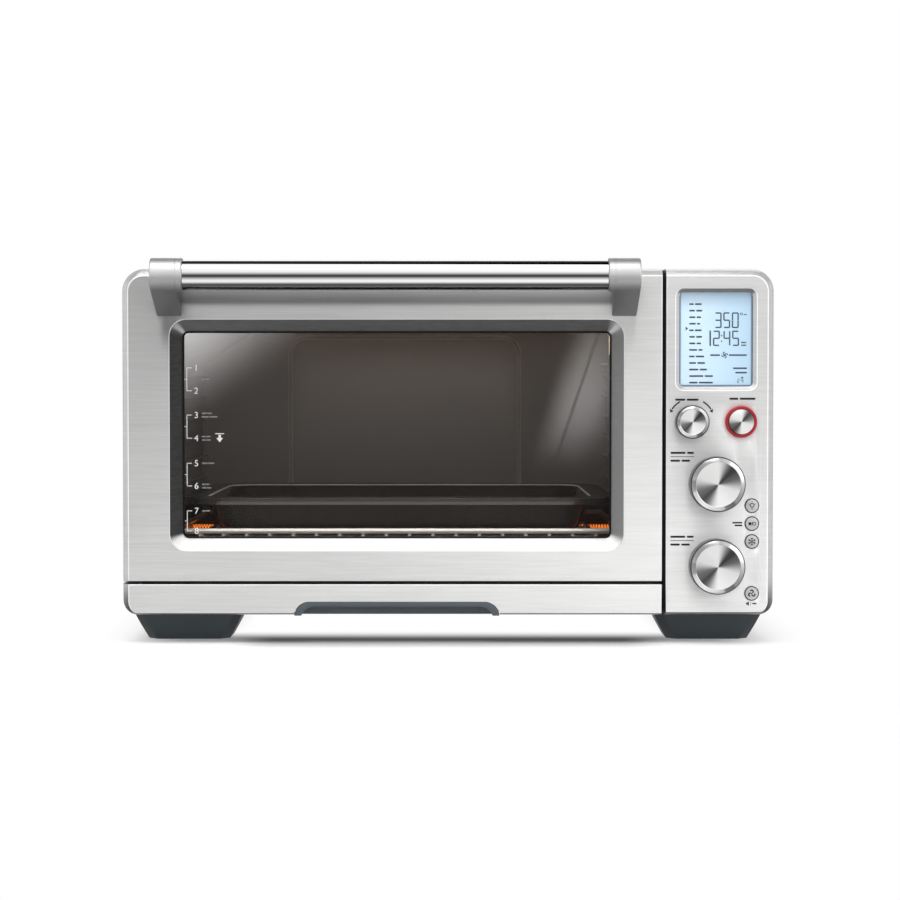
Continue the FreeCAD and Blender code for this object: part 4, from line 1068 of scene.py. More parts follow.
def screw_pattern(name, turn):
    """Pan head with a slight dome and a cross in it."""
    pattern = Pattern(name, ("Radius", "Height"))
    radius, height = pattern.sizes
    parts = [pattern.disc(radius, height), pattern.disc(radius * 0.78, height * 1.5)]
    size = pattern.join(radius * 1.2, radius * 0.24, height * 1.5)
    groove = pattern.node("GeometryNodeMeshCube", None, {0: size})
    raised = pattern.move(groove, pattern.join(0.0, 0.0, height * 0.75))
    crossed = pattern.move(raised, turn=(0.0, 0.0, QUARTER))
    head = pattern.solid("UNION", {1: parts})
    cut_head = pattern.solid("DIFFERENCE", {0: head, 1: [raised, crossed]})
    pattern.copy(pattern.move(cut_head, turn=turn))
    return pattern


back_screws = screw_pattern("screws_in_the_back", (-QUARTER, 0.0, 0.0))
left_screws = screw_pattern("screws_in_the_left_side", (0.0, -QUARTER, 0.0))
right_screws = screw_pattern("screws_in_the_right_side", (0.0, QUARTER, 0.0))
under_screws = screw_pattern("screws_underneath", (math.pi, 0.0, 0.0))
print("slot and screw trees ready")

# %% [markdown]
# ## Camera, floor and light
# The camera stands far back, a little above the oven, and looks slightly down. The floor and
# the air are white for the camera. What metal mirrors is another matter: in a studio, dark
# and bright bands round the set draw the form of a polished tube. Here the world shows metal
# a dark horizon between a bright floor and a bright soft box. Its sides are plain and
# bright, and what lies behind the oven is dim.

# %% Camera
scene.view_settings.view_transform = "Standard"
eye = Vector((1.7, -2120.0, 221.7)) * MM
aim = Vector((1.7, -170.0, 163.0)) * MM
camera_data = bpy.data.cameras.new("camera")
camera_data.lens = 93.0
camera_data.sensor_width = 36.0
camera_data.clip_start = 0.05
camera_data.clip_end = 60.0
camera = bpy.data.objects.new("camera", camera_data)
camera.location = eye
camera.rotation_euler = (aim - eye).to_track_quat("-Z", "Y").to_euler()
scene.collection.objects.link(camera)
scene.camera = camera
print("camera", round((aim - eye).length, 3), "m from the door")


# %% World
world = bpy.data.worlds.new("studio")
world.use_nodes = True
scene.world = world
air = Tree(world.node_tree)
sky_x, sky_y, sky_z = air.split(air.node("ShaderNodeTexCoord"))
upper = sky_z.fade(-0.14, 0.515)
lower = sky_z.fade(-0.155, -0.80) * (1.0 - sky_z.fade(-0.76, -1.04))
side = abs(sky_x).fade(0.35, 0.80)
behind = sky_y.fade(-0.36, -0.05)
front_light = (upper + lower) * (sky_x * 0.5 + 0.95) * 1.25 + 0.05
side_light = sky_x * 0.10 + 0.86
back_light = (1.0 - sky_z.fade(0.40, 0.66)) * 0.46 + (1.0 - sky_z.fade(0.92, 0.985)) * 0.11 + 0.03
open_light = front_light * (1.0 - side) + side_light * side
mirrored_light = open_light * (1.0 - behind) + back_light * behind
seen, glossy, passed = air.outputs(
    "ShaderNodeLightPath", ("Is Camera Ray", "Is Glossy Ray", "Is Transmission Ray"),
)
plain_level = 0.64
for_metal = mirrored_light * glossy + (1.0 - glossy) * plain_level
white = seen.most(passed)
strength = for_metal * (1.0 - white) + white
back = air.node("ShaderNodeBackground", None, {0: (1, 1, 1, 1), 1: strength})
air.node("ShaderNodeOutputWorld", None, {0: back})
print("world ready, plain level", plain_level)

# %% Floor
WHITE = (1, 1, 1, 1)
paper = Finish("studio_floor")
seen, glossy = paper.outputs("ShaderNodeLightPath", ("Is Camera Ray", "Is Glossy Ray"))
x, y, _ = paper.split(paper.place)
distance = paper.vector("LENGTH", paper.place, out=1)
# The floor is plain white for the camera far from the oven, as a backdrop, and also under and
# beside the oven, where this is painted light over its real shadow.
inward = ((right_x - 0.03) - abs(x)).least((y + 0.138).least(0.175 - y))
backdrop_and_painted_light = distance.fade(0.42, 0.75).most(inward.fade(0.0, 0.070))
backdrop_and_painted_light = backdrop_and_painted_light.most(abs(x).fade(0.22, 0.32))
# A painted shadow darkens the floor in a strip under the front of the oven, on top of its real
# shadow.
painted_floor_shadow = y.band(-0.225, -0.155, -0.146, -0.08) * (1.0 - abs(x).fade(0.145, 0.19))
shade = (paper.noise(3.0, 2.0) * 0.02 + 0.86) * (1.0 - painted_floor_shadow * 0.30)
matt = paper.node("ShaderNodeBsdfDiffuse", None, {0: paper.tint(shade, 0.0, 1.0)})
lift = paper.node("ShaderNodeEmission", None, {0: WHITE, 1: seen * (1.0 - painted_floor_shadow) * 0.16})
shaded = paper.node("ShaderNodeAddShader", None, {0: matt, 1: lift})
plain_white = paper.node("ShaderNodeEmission", None, {0: WHITE, 1: 1.0})
unseen = paper.node("ShaderNodeBsdfTransparent", None, {0: WHITE})
for_camera = paper.mix(backdrop_and_painted_light * seen, shaded, plain_white)
floor_paper = paper.done(paper.mix(glossy, for_camera, unseen))
mesh = bmesh.new()
mesh.faces.new(add_ring(mesh, [(-30, -30, 0), (30, -30, 0), (30, 30, 0), (-30, 30, 0)]))
floor = finish_mesh(mesh, "studio_floor", floor_paper, None, face_out=UP)
floor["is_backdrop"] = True
print("floor ready")


# %% Lamps
def soft_box(name, place, target, size, power, colour=(1, 1, 1)):
    data = bpy.data.lights.new(name, "AREA")
    data.shape = "RECTANGLE"
    data.size, data.size_y = size
    data.energy = power
    data.color = colour
    lamp = linked(name, data)
    lamp.location = place
    lamp.rotation_euler = (Vector(target) - Vector(place)).to_track_quat("-Z", "Y").to_euler()


for lamp in (
    ("box_above", (-0.35, -0.75, 1.9), (0.0, -0.1, 0.15), (1.8, 1.3), 27.0),
    ("box_right", (1.9, -1.3, 0.8), (0.1, -0.1, 0.15), (0.9, 1.2), 7.0),
    ("box_behind", (0.2, 1.8, 1.7), (0.0, 0.0, 0.1), (1.6, 1.0), 8.0),
    ("oven_light", (-0.05, -0.11, 0.288), (-0.05, 0.08, 0.10), (0.36, 0.05), 0.50,
     (1.0, 0.985, 0.97)),
    ("pan_light", (-0.05, -0.142, 0.112), (-0.05, -0.08, 0.088), (0.34, 0.02), 0.055,
     (1.0, 0.97, 0.94)),
):
    soft_box(*lamp)
print("lamps ready")

# %% [markdown]
# ## The door
# The door is a pressed steel shell: rolled at its top and left side, a small radius where it
# meets its neighbours, and a deep bevel down to the glass. Two slots at its foot let the
# hinge brackets pass. The window recess is part of the same sheet, so it is made in the same
# mesh, and only the bevel gets a finish of its own, with painted light and shade by the way
# each of its sides faces.

# %% Door panel
window_size = (381.0 * MM, 193.8 * MM, 14.5 * MM)
bevel_run = 9.5 * MM
bevel_depth = 14.0 * MM


def bevel_painted_light(name):
    """Steel with painted light and shade: its lower side is painted bright, as if it looked up at
    the light, its other sides painted dark.
    """
    finish = Finish(name)
    across, toward, upward = finish.facing()
    low_side = upward.fade(0.10, 0.50)
    right_side = (-across).fade(0.05, 0.45)
    top_side = (-upward).fade(0.10, 0.45)
    streaks = finish.noise(1.0, 3.0, (90, 90, 500)) - 0.5
    painted_dark_side = (1.0 - low_side) * (right_side * 0.26 + top_side * 0.075 + 0.045)
    # Painted glint where the bevel turns round its upper corners.
    corner = (abs(across) * -upward).fade(0.26, 0.345)
    shade = low_side + painted_dark_side + corner * 0.42
    # Painted highlight along the crease at the outer edge of the bevel.
    crease_line = (-toward).fade(0.84, 0.92)
    shade = shade * (1.0 - crease_line) + crease_line * 0.78 + streaks * 0.06
    return finish.surface(
        Base_Color=finish.tint(shade, 0.0, 0.97),
        Metallic=0.35,
        Roughness=streaks * 0.1 + 0.36,
    )


door = rolled_panel(
    "door_shell", steel_front, "door", "door_panel",
    (left_x, door_high[0], door_low[2], top_z),
    (0, top_corner, 0, 0),
    (ROLLED, CUT, 2.2, ROLLED),
    [pressed_hole(door_x, window_z, window_size, bevel_run, bevel_depth)],
)
door.data.materials.append(bevel_painted_light("burnished_bevel"))
half_width = window_size[0] / 2 + 0.2 * MM
half_height = window_size[1] / 2 + 0.2 * MM
for face in door.data.polygons:
    x, y, z = face.center
    beside = abs(x - door_x) < half_width and abs(z - window_z) < half_height
    if beside and front_y + 0.01 * MM < y < front_y + bevel_depth + sheet:
        face.material_index = 1
plate = 2.4 * MM
gap = 0.3 * MM
notches = []
for start in (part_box("hinge_bracket_left")[1][0] - plate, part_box("hinge_bracket_right")[0][0]):
    notches.append(rectangle(start - gap, start + plate + gap, 45 * MM, 61.8 * MM))
cut(door, cutter(notches, -166.3 * MM, -140 * MM))
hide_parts("door_panel")
print("door shell with", len(door.data.polygons), "faces")

# %% [markdown]
# ## Handle
# A polished tube sits between two collars. Each collar is one casting with an arm that leans
# back to the door. A fine groove shows where the arm ends and the collar goes on.

# %% Handle
bar_length = bar_high[0] - bar_low[0]
end_round = 0.4 * MM
profile = [
    (0, bar_radius - end_round), (end_round, bar_radius),
    (bar_length - end_round, bar_radius), (bar_length, bar_radius - end_round),
]
bar_start = (bar_low[0], bar_y, bar_z)
bar = turned_piece(
    "handle_tube", polished, "door", bar_start, (1, 0, 0), profile, 96,
)
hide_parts("handle_bar")
arm_width = 20.7 * MM
foot_top = top_z - 5.5 * MM
foot_low = foot_top - 34.7 * MM


def touch_angle(y, z, sign):
    """Angle on the collar where a line from a point on the door touches it."""
    away = Vector((y - bar_y, z - bar_z))
    return math.atan2(away[1], away[0]) + sign * math.acos(collar_radius / away.length)


high_turn = touch_angle(front_y, foot_top, 1)
low_turn = touch_angle(front_y, foot_low, -1) + 2 * math.pi
arm_line = [(front_y, foot_low), (front_y, foot_top)]
for step in range(25):
    turn = math.degrees(high_turn + (low_turn - high_turn) * step / 24)
    arm_line.append(around(bar_y, bar_z, collar_radius, turn))
groove = 0.2 * MM
for side, which in ((1, "left"), (-1, "right")):
    low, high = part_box("handle_bracket_" + which)
    outer_x = low[0] if side > 0 else high[0]
    width = high[0] - low[0]
    mesh = bmesh.new()
    prism(mesh, arm_line, *sorted((outer_x, outer_x + side * arm_width)), sideways=True)
    arm = finish_mesh(mesh, "handle_arm_" + which, satin, "door")
    ease_edges(arm, 1.1 * MM)
    profile = [
        (0.5 * MM, collar_radius - 1.6 * MM), (0.5 * MM, collar_radius - 1.0 * MM),
        (1.4 * MM, collar_radius), (arm_width, collar_radius),
        (arm_width + groove, collar_radius - groove), (arm_width + 2 * groove, collar_radius),
        (width - 0.8 * MM, collar_radius), (width, collar_radius - 0.8 * MM),
        (width, bar_radius - 0.5 * MM),
    ]
    turned_piece(
        "handle_collar_" + which, satin, "door",
        (outer_x, bar_y, bar_z), (side, 0, 0), profile, 96,
    )
    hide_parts("handle_bracket_" + which)
print("handle over", round(bar_length * 1000, 1), "mm")

# %% [markdown]
# ## Glass marks
# The pane carries white marks for the eight rack levels and a small sign that says where the
# rack goes. They are printed, so they are flat shapes a few hundredths of a millimetre thick.

# %% Printed marks
class Print:
    """Flat marks on an upright face, gathered in one thin piece; outlines in millimetres."""

    def __init__(self, y, thickness=0.06 * MM):
        self.mesh = bmesh.new()
        self.front = y - thickness
        self.back = y

    def shape(self, points):
        prism(self.mesh, millimetres(points), self.front, self.back)

    def bar(self, x0, x1, z0, z1):
        self.shape(rectangle(x0, x1, z0, z1))

    def dash(self, x0, x1, z, half):
        """Bar with its middle at a height."""
        self.bar(x0, x1, z - half, z + half)

    def pill(self, x0, x1, z, height):
        self.shape(rounded((x0 + x1) / 2, z, x1 - x0, height, height * 0.49, 4))

    def line(self, start, end, width):
        x0, z0 = start
        x1, z1 = end
        length = math.hypot(x1 - x0, z1 - z0)
        x, z = (z0 - z1) / length * width / 2, (x1 - x0) / length * width / 2
        self.shape([(x1 + x, z1 + z), (x0 + x, z0 + z), (x0 - x, z0 - z), (x1 - x, z1 - z)])

    def sweep(self, x, z, radius, width, start, end, steps):
        """Part of a ring."""
        outer = arc((x, z), (radius + width / 2,) * 2, start, end, steps)
        inner = arc((x, z), (radius - width / 2,) * 2, end, start, steps)
        self.shape(outer + inner)

    def ring(self, x, z, radius, width):
        for start in (0, 180):
            self.sweep(x, z, radius, width, start, start + 180, 12)

    def digits(self, places, z, width, height, stroke):
        """Digits of seven bars; places pairs each digit with its left edge."""
        gap = stroke * 0.12
        half = stroke / 2
        middle = z + height / 2
        top = z + height
        for text, x in places.items():
            right = x + width
            level_bar = (x + half + gap, right - half - gap)
            left_bar, right_bar = (x, x + stroke), (right - stroke, right)
            bars = {
                "a": (*level_bar, top - stroke, top),
                "b": (*right_bar, middle + gap, top - half),
                "c": (*right_bar, z + half, middle - gap),
                "d": (*level_bar, z, z + stroke),
                "e": (*left_bar, z + half, middle - gap),
                "f": (*left_bar, middle + gap, top - half),
                "g": (*level_bar, middle - half, middle + half),
            }
            for name in SEGMENTS[text]:
                self.bar(*bars[name])

    def done(self, name, material, body, slot):
        return finish_mesh(self.mesh, name, material, body)


SEGMENTS = {"0": "abcdef", "2": "abged", "3": "abgcd", "4": "fgbc", "5": "afgcd"}


def numeral(text, x, z, height, y):
    """Plain numeral from the built-in typeface, as a thin flat mesh."""
    curve = bpy.data.curves.new("numeral", "FONT")
    curve.body = text
    curve.size = height / 0.72
    curve.extrude = 0.03 * MM
    curve.align_x = "CENTER"
    made = linked("numeral", curve)
    graph = bpy.context.evaluated_depsgraph_get()
    data = bpy.data.meshes.new_from_object(made.evaluated_get(graph))
    bpy.data.objects.remove(made)
    data.transform(Matrix.Translation((x, y, z)) @ Matrix.Rotation(QUARTER, 4, "X"))
    return data


pane_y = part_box("door_glass")[0][1]
level_heights = (232.0, 212.6, 192.1, 172.6, 151.4, 132.2, 111.1, 94.1)
marks = Print(pane_y)
hints = Print(pane_y)
upright_x, hint_x, half_line = -218.8, -206.0, 0.3
for high, low in zip(level_heights[::2], level_heights[1::2]):
    marks.bar(upright_x, -218.2, low, high)
    for z in (high, low):
        marks.dash(upright_x, -214.4, z, half_line)
    marks.dash(-220.9, -218.5, (high + low) / 2, half_line)
hint_rows = (
    (222.3, 6.4), (193.6, 8.4), (190.6, 13.2), (174.0, 7.4), (171.0, 7.4),
    (151.4, 10.4), (133.6, 6.2), (130.6, 7.8), (111.1, 6.6), (93.4, 13.0),
)
for z, width in hint_rows:
    hints.dash(hint_x, hint_x + width * 0.44, z, 0.6)
    hints.dash(hint_x + width * 0.52, hint_x + width, z, 0.6)
marks.bar(-194.7, -187.1, 176.0, 176.7)
marks.bar(-191.9, -189.9, 172.6, 175.4)
marks.shape([(-188.0, 172.8), (-193.8, 172.8), (-190.9, 169.1)])
mesh = bmesh.new()
for index, z in enumerate(level_heights):
    data = numeral(str(index + 1), -210.6 * MM, (z - 2.5) * MM, 5.4 * MM, pane_y - 0.03 * MM)
    mesh.from_mesh(data)
    bpy.data.meshes.remove(data)
for printed in (
    hints.done("glass_hints", print_grey, "door", "light_plastic"),
    marks.done("glass_level_marks", print_white, "door", "light_plastic"),
    finish_mesh(mesh, "glass_level_numbers", print_white, "door"),
):
    printed.data.transform(Matrix.Translation((-2.0 * MM, 0, 0)))

mesh = bmesh.new()
inner_size = [size - run * bevel_run for size, run in zip(window_size, (2, 2, 1))]
line_outlines = []
for inset, ahead in millimetres(((0.05, 0.01), (0.05, 0.5), (1.5, 0.5), (1.5, 0.01))):
    line_outlines.append((grown(door_x, window_z, inner_size, -inset, 8), pane_y - ahead))
loft(mesh, line_outlines, closed=True)
finish_mesh(mesh, "pane_seal_line", rubber, "door")
print("glass marks ready")

# %% [markdown]
# ## Control panel
# The panel is brushed like the door, and a painted shade on it grows brighter downwards. It has
# a pressed lip round the display and a round hole for every button. The dials hide their own
# holes, so only the holes that show are cut here.

# %% Control panel
display_low, display_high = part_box("lcd_module")
display_x, _, display_z = middle_of("lcd_module")
lip = 3.2 * MM
lip_size = (61.8 * MM + 2 * lip, 79.2 * MM + 2 * lip, 3.8 * MM + lip)
button_names = ("light_button", "phase_button", "frozen_button", "convection_button")
start_x, _, start_z = Vector(middle_of("start_ring"))


def bored_hole(x, z, radius):
    """Outlines of a round hole from the face inwards."""
    steps = millimetres(((0.15, 0.0), (0.04, 0.06), (0.0, 0.2), (0.0, 1.0)))
    return [(circle(x, z, radius + grow, 40), front_y + reach) for grow, reach in steps]


holes = [pressed_hole(display_x, display_z, lip_size, lip, 3.0 * MM)]
for node in button_names:
    x, _, z = Vector(middle_of(node))
    holes.append(bored_hole(x, z, 6.15 * MM))
holes.append(bored_hole(start_x, start_z, 10.7 * MM))
control = rolled_panel(
    "control_panel_shell", steel_panel, "oven", "control_panel",
    (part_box("control_panel")[0][0], right_x, lip_z, top_z),
    (top_corner, 0, 0, bottom_corner),
    (CUT, ROLLED, 0.5, ROLLED),
    holes,
)
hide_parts("control_panel")
print("control panel shell with", len(control.data.polygons), "faces")

# %% [markdown]
# ## Display
# Behind the lens lies a pale blue display. Plain bars stand beside its settings, and its
# numbers are seven-bar digits, as such displays have.

# %% Display
screen_y = display_low[1]
lens_low, lens_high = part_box("lcd_lens")
lens_size = (lens_high[0] - lens_low[0], lens_high[2] - lens_low[2])
outlines = []
ease = 0.3 * MM
for inset, y in ((ease, lens_low[1]), (0.0, lens_low[1] + ease), (0.0, screen_y - 0.5 * MM)):
    width, height = (size - 2 * inset for size in lens_size)
    outlines.append((rounded(display_x, display_z, width, height, 3.0 * MM, 6), y))
mesh = bmesh.new()
rings = loft(mesh, outlines)
mesh.faces.new(rings[0])
mesh.faces.new(rings[-1])
lens = finish_mesh(mesh, "display_window", display_lens, "oven")
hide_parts("lcd_lens")


def lit_screen(name):
    """Pale blue screen that darkens at its edges in a thin border and to its right; the darkening
    from its top edge is a painted shade under the lip.
    """
    finish = Finish(name)
    x, _, z = finish.split(finish.place)
    border = 0.8 * MM
    left_edge = (x - (display_low[0] + border)) * 1000.0
    right_edge = ((display_high[0] - border) - x) * 1000.0
    top_edge = ((display_high[2] - border) - z) * 1000.0
    low_edge = (z - (display_low[2] + border)) * 1000.0
    nearest = left_edge.least(right_edge).least(low_edge)
    inside = nearest.fade(0.0, 1.2) * top_edge.fade(-16.0, 17.0)
    dots = finish.noise(2600.0, 1.0)
    blue = finish.tint(left_edge.fade(8.0, 58.0), (0.66, 0.80, 0.87), (0.50, 0.66, 0.77))
    lit = finish.blend(inside, (0.16, 0.20, 0.30, 1), blue)
    colour = finish.blend(dots * 0.08, lit, (0.80, 0.90, 1.0, 1))
    return finish.surface(
        Base_Color=colour,
        Roughness=dots * 0.1 + 0.3,
        Emission_Color=colour,
        Emission_Strength=0.26,
    )


lit_display = lit_screen("lit_display")
ink = Print(screen_y, 0.1 * MM)
row_x, end_x = 202.6, 251.2
row_widths = (10.5, 10.9, 10.0, 9.2, 10.5, 10.9, 10.0, 11.3, 12.6, 13.4, 15.1, 20.1, 20.1)
for index, width in enumerate(row_widths):
    z = 285.4 - 5.49 * index
    split_at = row_x + width * (0.36 + 0.08 * (index % 4))
    ink.pill(row_x, split_at, z, 1.4)
    ink.pill(split_at + 1.0, row_x + width, z, 1.4)
ink.shape([(199.6, 266.6), (199.6, 263.2), (201.6, 264.9)])
ink.digits({"3": 224.0, "5": 231.2, "0": 238.4}, 265.3, 5.8, 13.2, 1.1)
ink.ring(246.4, 277.2, 0.9, 0.5)
ink.pill(248.2, 251.0, 276.6, 0.8)
ink.bar(219.6, 220.9, 250.3, 263.2)
ink.digits({"2": 222.6, "4": 231.4, "5": 238.7}, 250.3, 5.8, 12.9, 1.1)
for z in (254.2, 259.0):
    ink.dash(229.3, 230.4, z, 0.55)
for z in (250.9, 253.2):
    ink.pill(246.2, 250.6, z, 1.0)
for turn in range(0, 360, 90):
    ink.sweep(*around(232.5, 242.6, 1.3, turn), 1.2, 0.8, turn, turn + 200, 8)
ink.pill(220.2, 228.6, 242.6, 1.3)
for x, z in ((235.9, 242.6), (239.5, 231.6), (241.5, 227.9)):
    ink.pill(x, end_x, z, 1.3)
ink.shape([(245.9, 223.1), (248.5, 223.1), (247.2, 224.9)])
ink.digits({"2": 243.0, "4": 246.3}, 219.2, 1.9, 3.5, 0.45)
ink.done("display_marks", display_ink, "oven", "display")
print("display marks ready")

# %% [markdown]
# ## Dials and buttons
# A dial is turned on a lathe: a straight side, a bevel and a face with circular scratches,
# dished by a few tenths. The bright and dark wedges on the face and the bright arcs on the
# bevel are a painted reflection, and the near-black side is a painted shade. The select dial
# is the same, smaller. Buttons are turned caps with a tiny edge round.

# %% Dials
# Painted shade: the sides of the dials are near-black, for the shadow in the gap round each dial.
dial_side = plain_metal("dial_side", (0.045, 0.045, 0.048), 0.3, 0.5)
dial_steel = (0.97, 0.97, 0.965)


def dial(kind, radius, face_radius, bevel, back_y):
    """Turned knob in the place of its node; one that ends before its node goes on as a shaft."""
    node = kind + "_dial"
    x, _, z = middle_of(node)
    face_y, end_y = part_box(node)[0][1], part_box(node)[1][1]
    depth = back_y - face_y
    bevel_end = radius - 0.9 * MM
    profile = [
        (0.35 * MM, 0.2 * MM), (0.35 * MM, face_radius - 1.5 * MM),
        (0.22 * MM, face_radius - 0.8 * MM), (0.0, face_radius - 0.35 * MM),
        (0.05 * MM, face_radius), (bevel * 0.8, bevel_end), (bevel, bevel_end + 0.1 * MM),
        (bevel + 0.6 * MM, radius - 0.3 * MM), (bevel + 1.0 * MM, radius),
        (depth - 0.5 * MM, radius), (depth, radius - 0.5 * MM),
    ]
    if end_y > back_y:
        profile += [(depth, 3 * MM), (end_y - face_y, 3 * MM)]
    name = kind + "_knob"
    centre = (x, face_y, z)
    made = turned_piece(
        name, turned_metal(name + "_face", dial_steel, centre), node,
        centre, BACKWARD, profile, 120, 25,
    )
    made.data.materials.append(bevel_metal(name + "_bevel", centre))
    made.data.materials.append(dial_side)
    limits = (face_radius - 0.7 * MM, bevel_end + 0.01 * MM)
    for face in made.data.polygons:
        corners = [made.data.vertices[index].co for index in face.vertices]
        far = max(math.hypot(corner[0] - x, corner[2] - z) for corner in corners)
        behind = face.center[1] > face_y + bevel
        face.material_index = 2 if behind else sum(far > limit for limit in limits)
    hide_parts(node)


before_panel = front_y - 0.5 * MM
dial("temp", 23 * MM, 19.4 * MM, 2.2 * MM, before_panel)
dial("time", 23 * MM, 19.4 * MM, 2.2 * MM, before_panel)
dial("select", 14 * MM, 11.4 * MM, 1.6 * MM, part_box("select_dial")[1][1])
print("three dials ready")

# %% Buttons
button_cap = grained("button_cap", (0.66, 0.67, 0.68), 0.35, 1400.0, 0.05, 0.05, 0.2)


def push_cap(name, node, radius, material, edge):
    """Turned cap with a short stem behind it."""
    low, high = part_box(node)
    x, _, z = middle_of(node)
    length = front_y - low[1] + sheet
    profile = [
        (0.0, 0.1 * MM), (0.0, radius - edge), (edge * 0.3, radius - edge * 0.3),
        (edge, radius), (length, radius), (length, 2 * MM), (high[1] - low[1], 2 * MM),
    ]
    centre = (x, low[1], z)
    made = turned_piece(name, material, node, centre, BACKWARD, profile, 48)
    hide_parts(node)
    return Vector(centre)


sign_places = {}
for node in button_names:
    name = node.replace("button", "cap")
    sign_places[node] = push_cap(name, node, 5.3 * MM, button_cap, 0.35 * MM)
start_cap = turned_metal("start_cap", dial_steel, Vector(middle_of("start_button")))
push_cap("start_cap", "start_button", 10.4 * MM, start_cap, 0.8 * MM)
ring_low, ring_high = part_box("start_ring")
height = ring_high[1] - ring_low[1]
outlines = []
for radius, reach in (
    (10.75, 0.0), (10.75, 0.8), (11.0, 1.0), (12.6, 1.0), (13.2, 0.8), (13.4, 0.3), (13.4, 0.0),
):
    outlines.append((circle(start_x, start_z, radius * MM, 72), front_y - height * reach))
mesh = bmesh.new()
loft(mesh, outlines, closed=True)
ring = finish_mesh(mesh, "start_ring_lit", red_ring, "oven")
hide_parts("start_ring")
print("buttons and the start ring ready")

# %% [markdown]
# ## Signs on the panel
# Each button carries a generic sign: a lamp, a half and full disc, a snowflake and a fan.
# Plain bars stand beside the dials.

# %% Panel signs
def lamp_sign(sign, x, z):
    sign.ring(x, z + 0.5, 1.6, 0.6)
    sign.bar(x - 0.7, x + 0.7, z - 2.2, z - 1.7)
    sign.bar(x - 0.5, x + 0.5, z - 2.9, z - 2.5)
    for turn in (20, 90, 160):
        sign.line(around(x, z + 0.5, 2.3, turn), around(x, z + 0.5, 3.4, turn), 0.5)


def discs_sign(sign, x, z):
    sign.shape(circle(x - 1.7, z, 1.3, 20))
    sign.ring(x + 1.8, z, 1.3, 0.55)
    sign.line((x - 0.3, z - 1.6), (x + 0.4, z + 1.6), 0.35)


def frost_sign(sign, x, z):
    for turn in range(30, 390, 60):
        sign.line(around(x, z, 0.2, turn), around(x, z, 3.4, turn), 0.6)
        fork = around(x, z, 1.9, turn)
        for lean in (-50, 50):
            sign.line(fork, around(*fork, 1.2, turn + lean), 0.5)


def fan_sign(sign, x, z):
    sign.shape(circle(x, z, 0.6, 20))
    for turn in (90, 210, 330):
        sign.sweep(*around(x, z, 1.7, turn), 1.2, 1.1, turn - 150, turn + 70, 10)


for node, draw in zip(button_names, (lamp_sign, discs_sign, frost_sign, fan_sign)):
    place = sign_places[node]
    sign = Print(place[1])
    draw(sign, place[0] / MM, place[2] / MM)
    sign.done(node.replace("button", "sign"), print_black, node, "black_plastic")

labels = Print(front_y)
for x0, x1, z in (
    (190.6, 199.0, 205.2), (200.2, 210.2, 205.2), (235.9, 243.5, 206.0), (244.7, 257.9, 206.0),
):
    labels.pill(x0, x1, z, 1.7)
select_middle = (204.2, 186.7)
for start, side in ((120, 1), (60, -1)):
    labels.sweep(*select_middle, 19.4, 1.2, *sorted((start, start + side * 27)), 12)
    spots = ((21.3, 29), (17.5, 29), (19.2, 37))
    labels.shape([around(*select_middle, away, start + side * turn) for away, turn in spots])
label_x = 186.7
for z in (157.4, 86.9):
    labels.dash(label_x, 206.6, z, 0.25)
    for x0, x1, rise in (
        (label_x, 199.4, 3.2), (200.6, 206.4, 3.2), (label_x, 194.8, -3.4), (196.0, 203.2, -3.4),
    ):
        labels.pill(x0, x1, z + rise, 1.7)
labels.pill(238.7, 247.2, 101.9, 1.3)
labels.pill(240.7, 247.2, 99.6, 1.3)
labels.shape([
    (251.6, 33.0), (253.0, 31.8), (253.0, 35.8), (251.6, 34.6), (250.6, 34.6), (250.6, 33.0),
])
labels.sweep(252.6, 33.8, 2.0, 0.4, -40, 40, 6)
labels.pill(255.6, 259.4, 33.8, 1.1)
labels.done("panel_marks", print_black, "oven", "black_plastic")
print("panel signs ready")

# %% [markdown]
# ## Crumb drawer front and its grip
# The drawer front is the strip of the rolled front under the door. A moulded grip lines the
# notch in its middle. The notch and the pocket are cut out of solids with booleans, and then
# the mould's edges are eased.

# %% Drawer front
grip_low, grip_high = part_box("tray_grip")
before, behind = front_y - 5 * MM, front_y + 40 * MM


def grip_outline(draw_in, drop=0.0):
    """Arched outline, from its lower right corner round to its lower left corner."""
    half = (grip_high[0] - grip_low[0]) / 2 - 1.6 * draw_in
    top = grip_high[2] - draw_in
    low = grip_low[2]
    slope = 12.0 * MM
    knee, knee_z = slope * 0.28, low + (top - low) * 0.62
    right, left = door_x + half, door_x - half
    points = arc_through((right, low), (right - knee, knee_z), (right - slope, top), 10)
    points += arc_through((left + slope, top), (left + knee, knee_z), (left, low), 10)
    return [(right, low - drop), *points, (left, low - drop)] if drop else points


strip_end, _, strip_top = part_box("tray_front")[1]
strip = rolled_panel(
    "drawer_front_shell", steel_front, "crumb_drawer", "tray_front",
    (left_x, strip_end, lip_z, strip_top),
    (0, 0, bottom_corner, 0),
    (ROLLED, CUT, 0.35, CUT),
)
cut(strip, cutter([grip_outline(-0.25 * MM, 4 * MM)], before, behind), "FAST")
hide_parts("tray_front")

mesh = bmesh.new()
prism(mesh, grip_outline(0.0), front_y, front_y + 24.0 * MM)
grip = finish_mesh(mesh, "drawer_grip", grip_plastic, "crumb_drawer")
cut(grip, cutter([grip_outline(3.8 * MM)], before, front_y + 15 * MM))
ease_edges(grip, 0.8 * MM)
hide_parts("tray_grip")
print("drawer front and grip ready")

# %% [markdown]
# ## Cover, back and feet
# The cover is one sheet bent round the body. Vent slots are punched in both sides near the
# back. Screws hold the back and the base. The feet are flared plastic blocks.

# %% Cover
cover_low, cover_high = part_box("outer_cover")
slot_pitch = 9 * MM


def body_outline(inset):
    corners = (top_corner, top_corner, bottom_corner, bottom_corner)
    return panel_outline((left_x, right_x, bottom_z, top_z), corners, (inset,) * 4)


def slot_row(middle, count):
    return [middle + (index - (count - 1) / 2) * slot_pitch for index in range(count)]


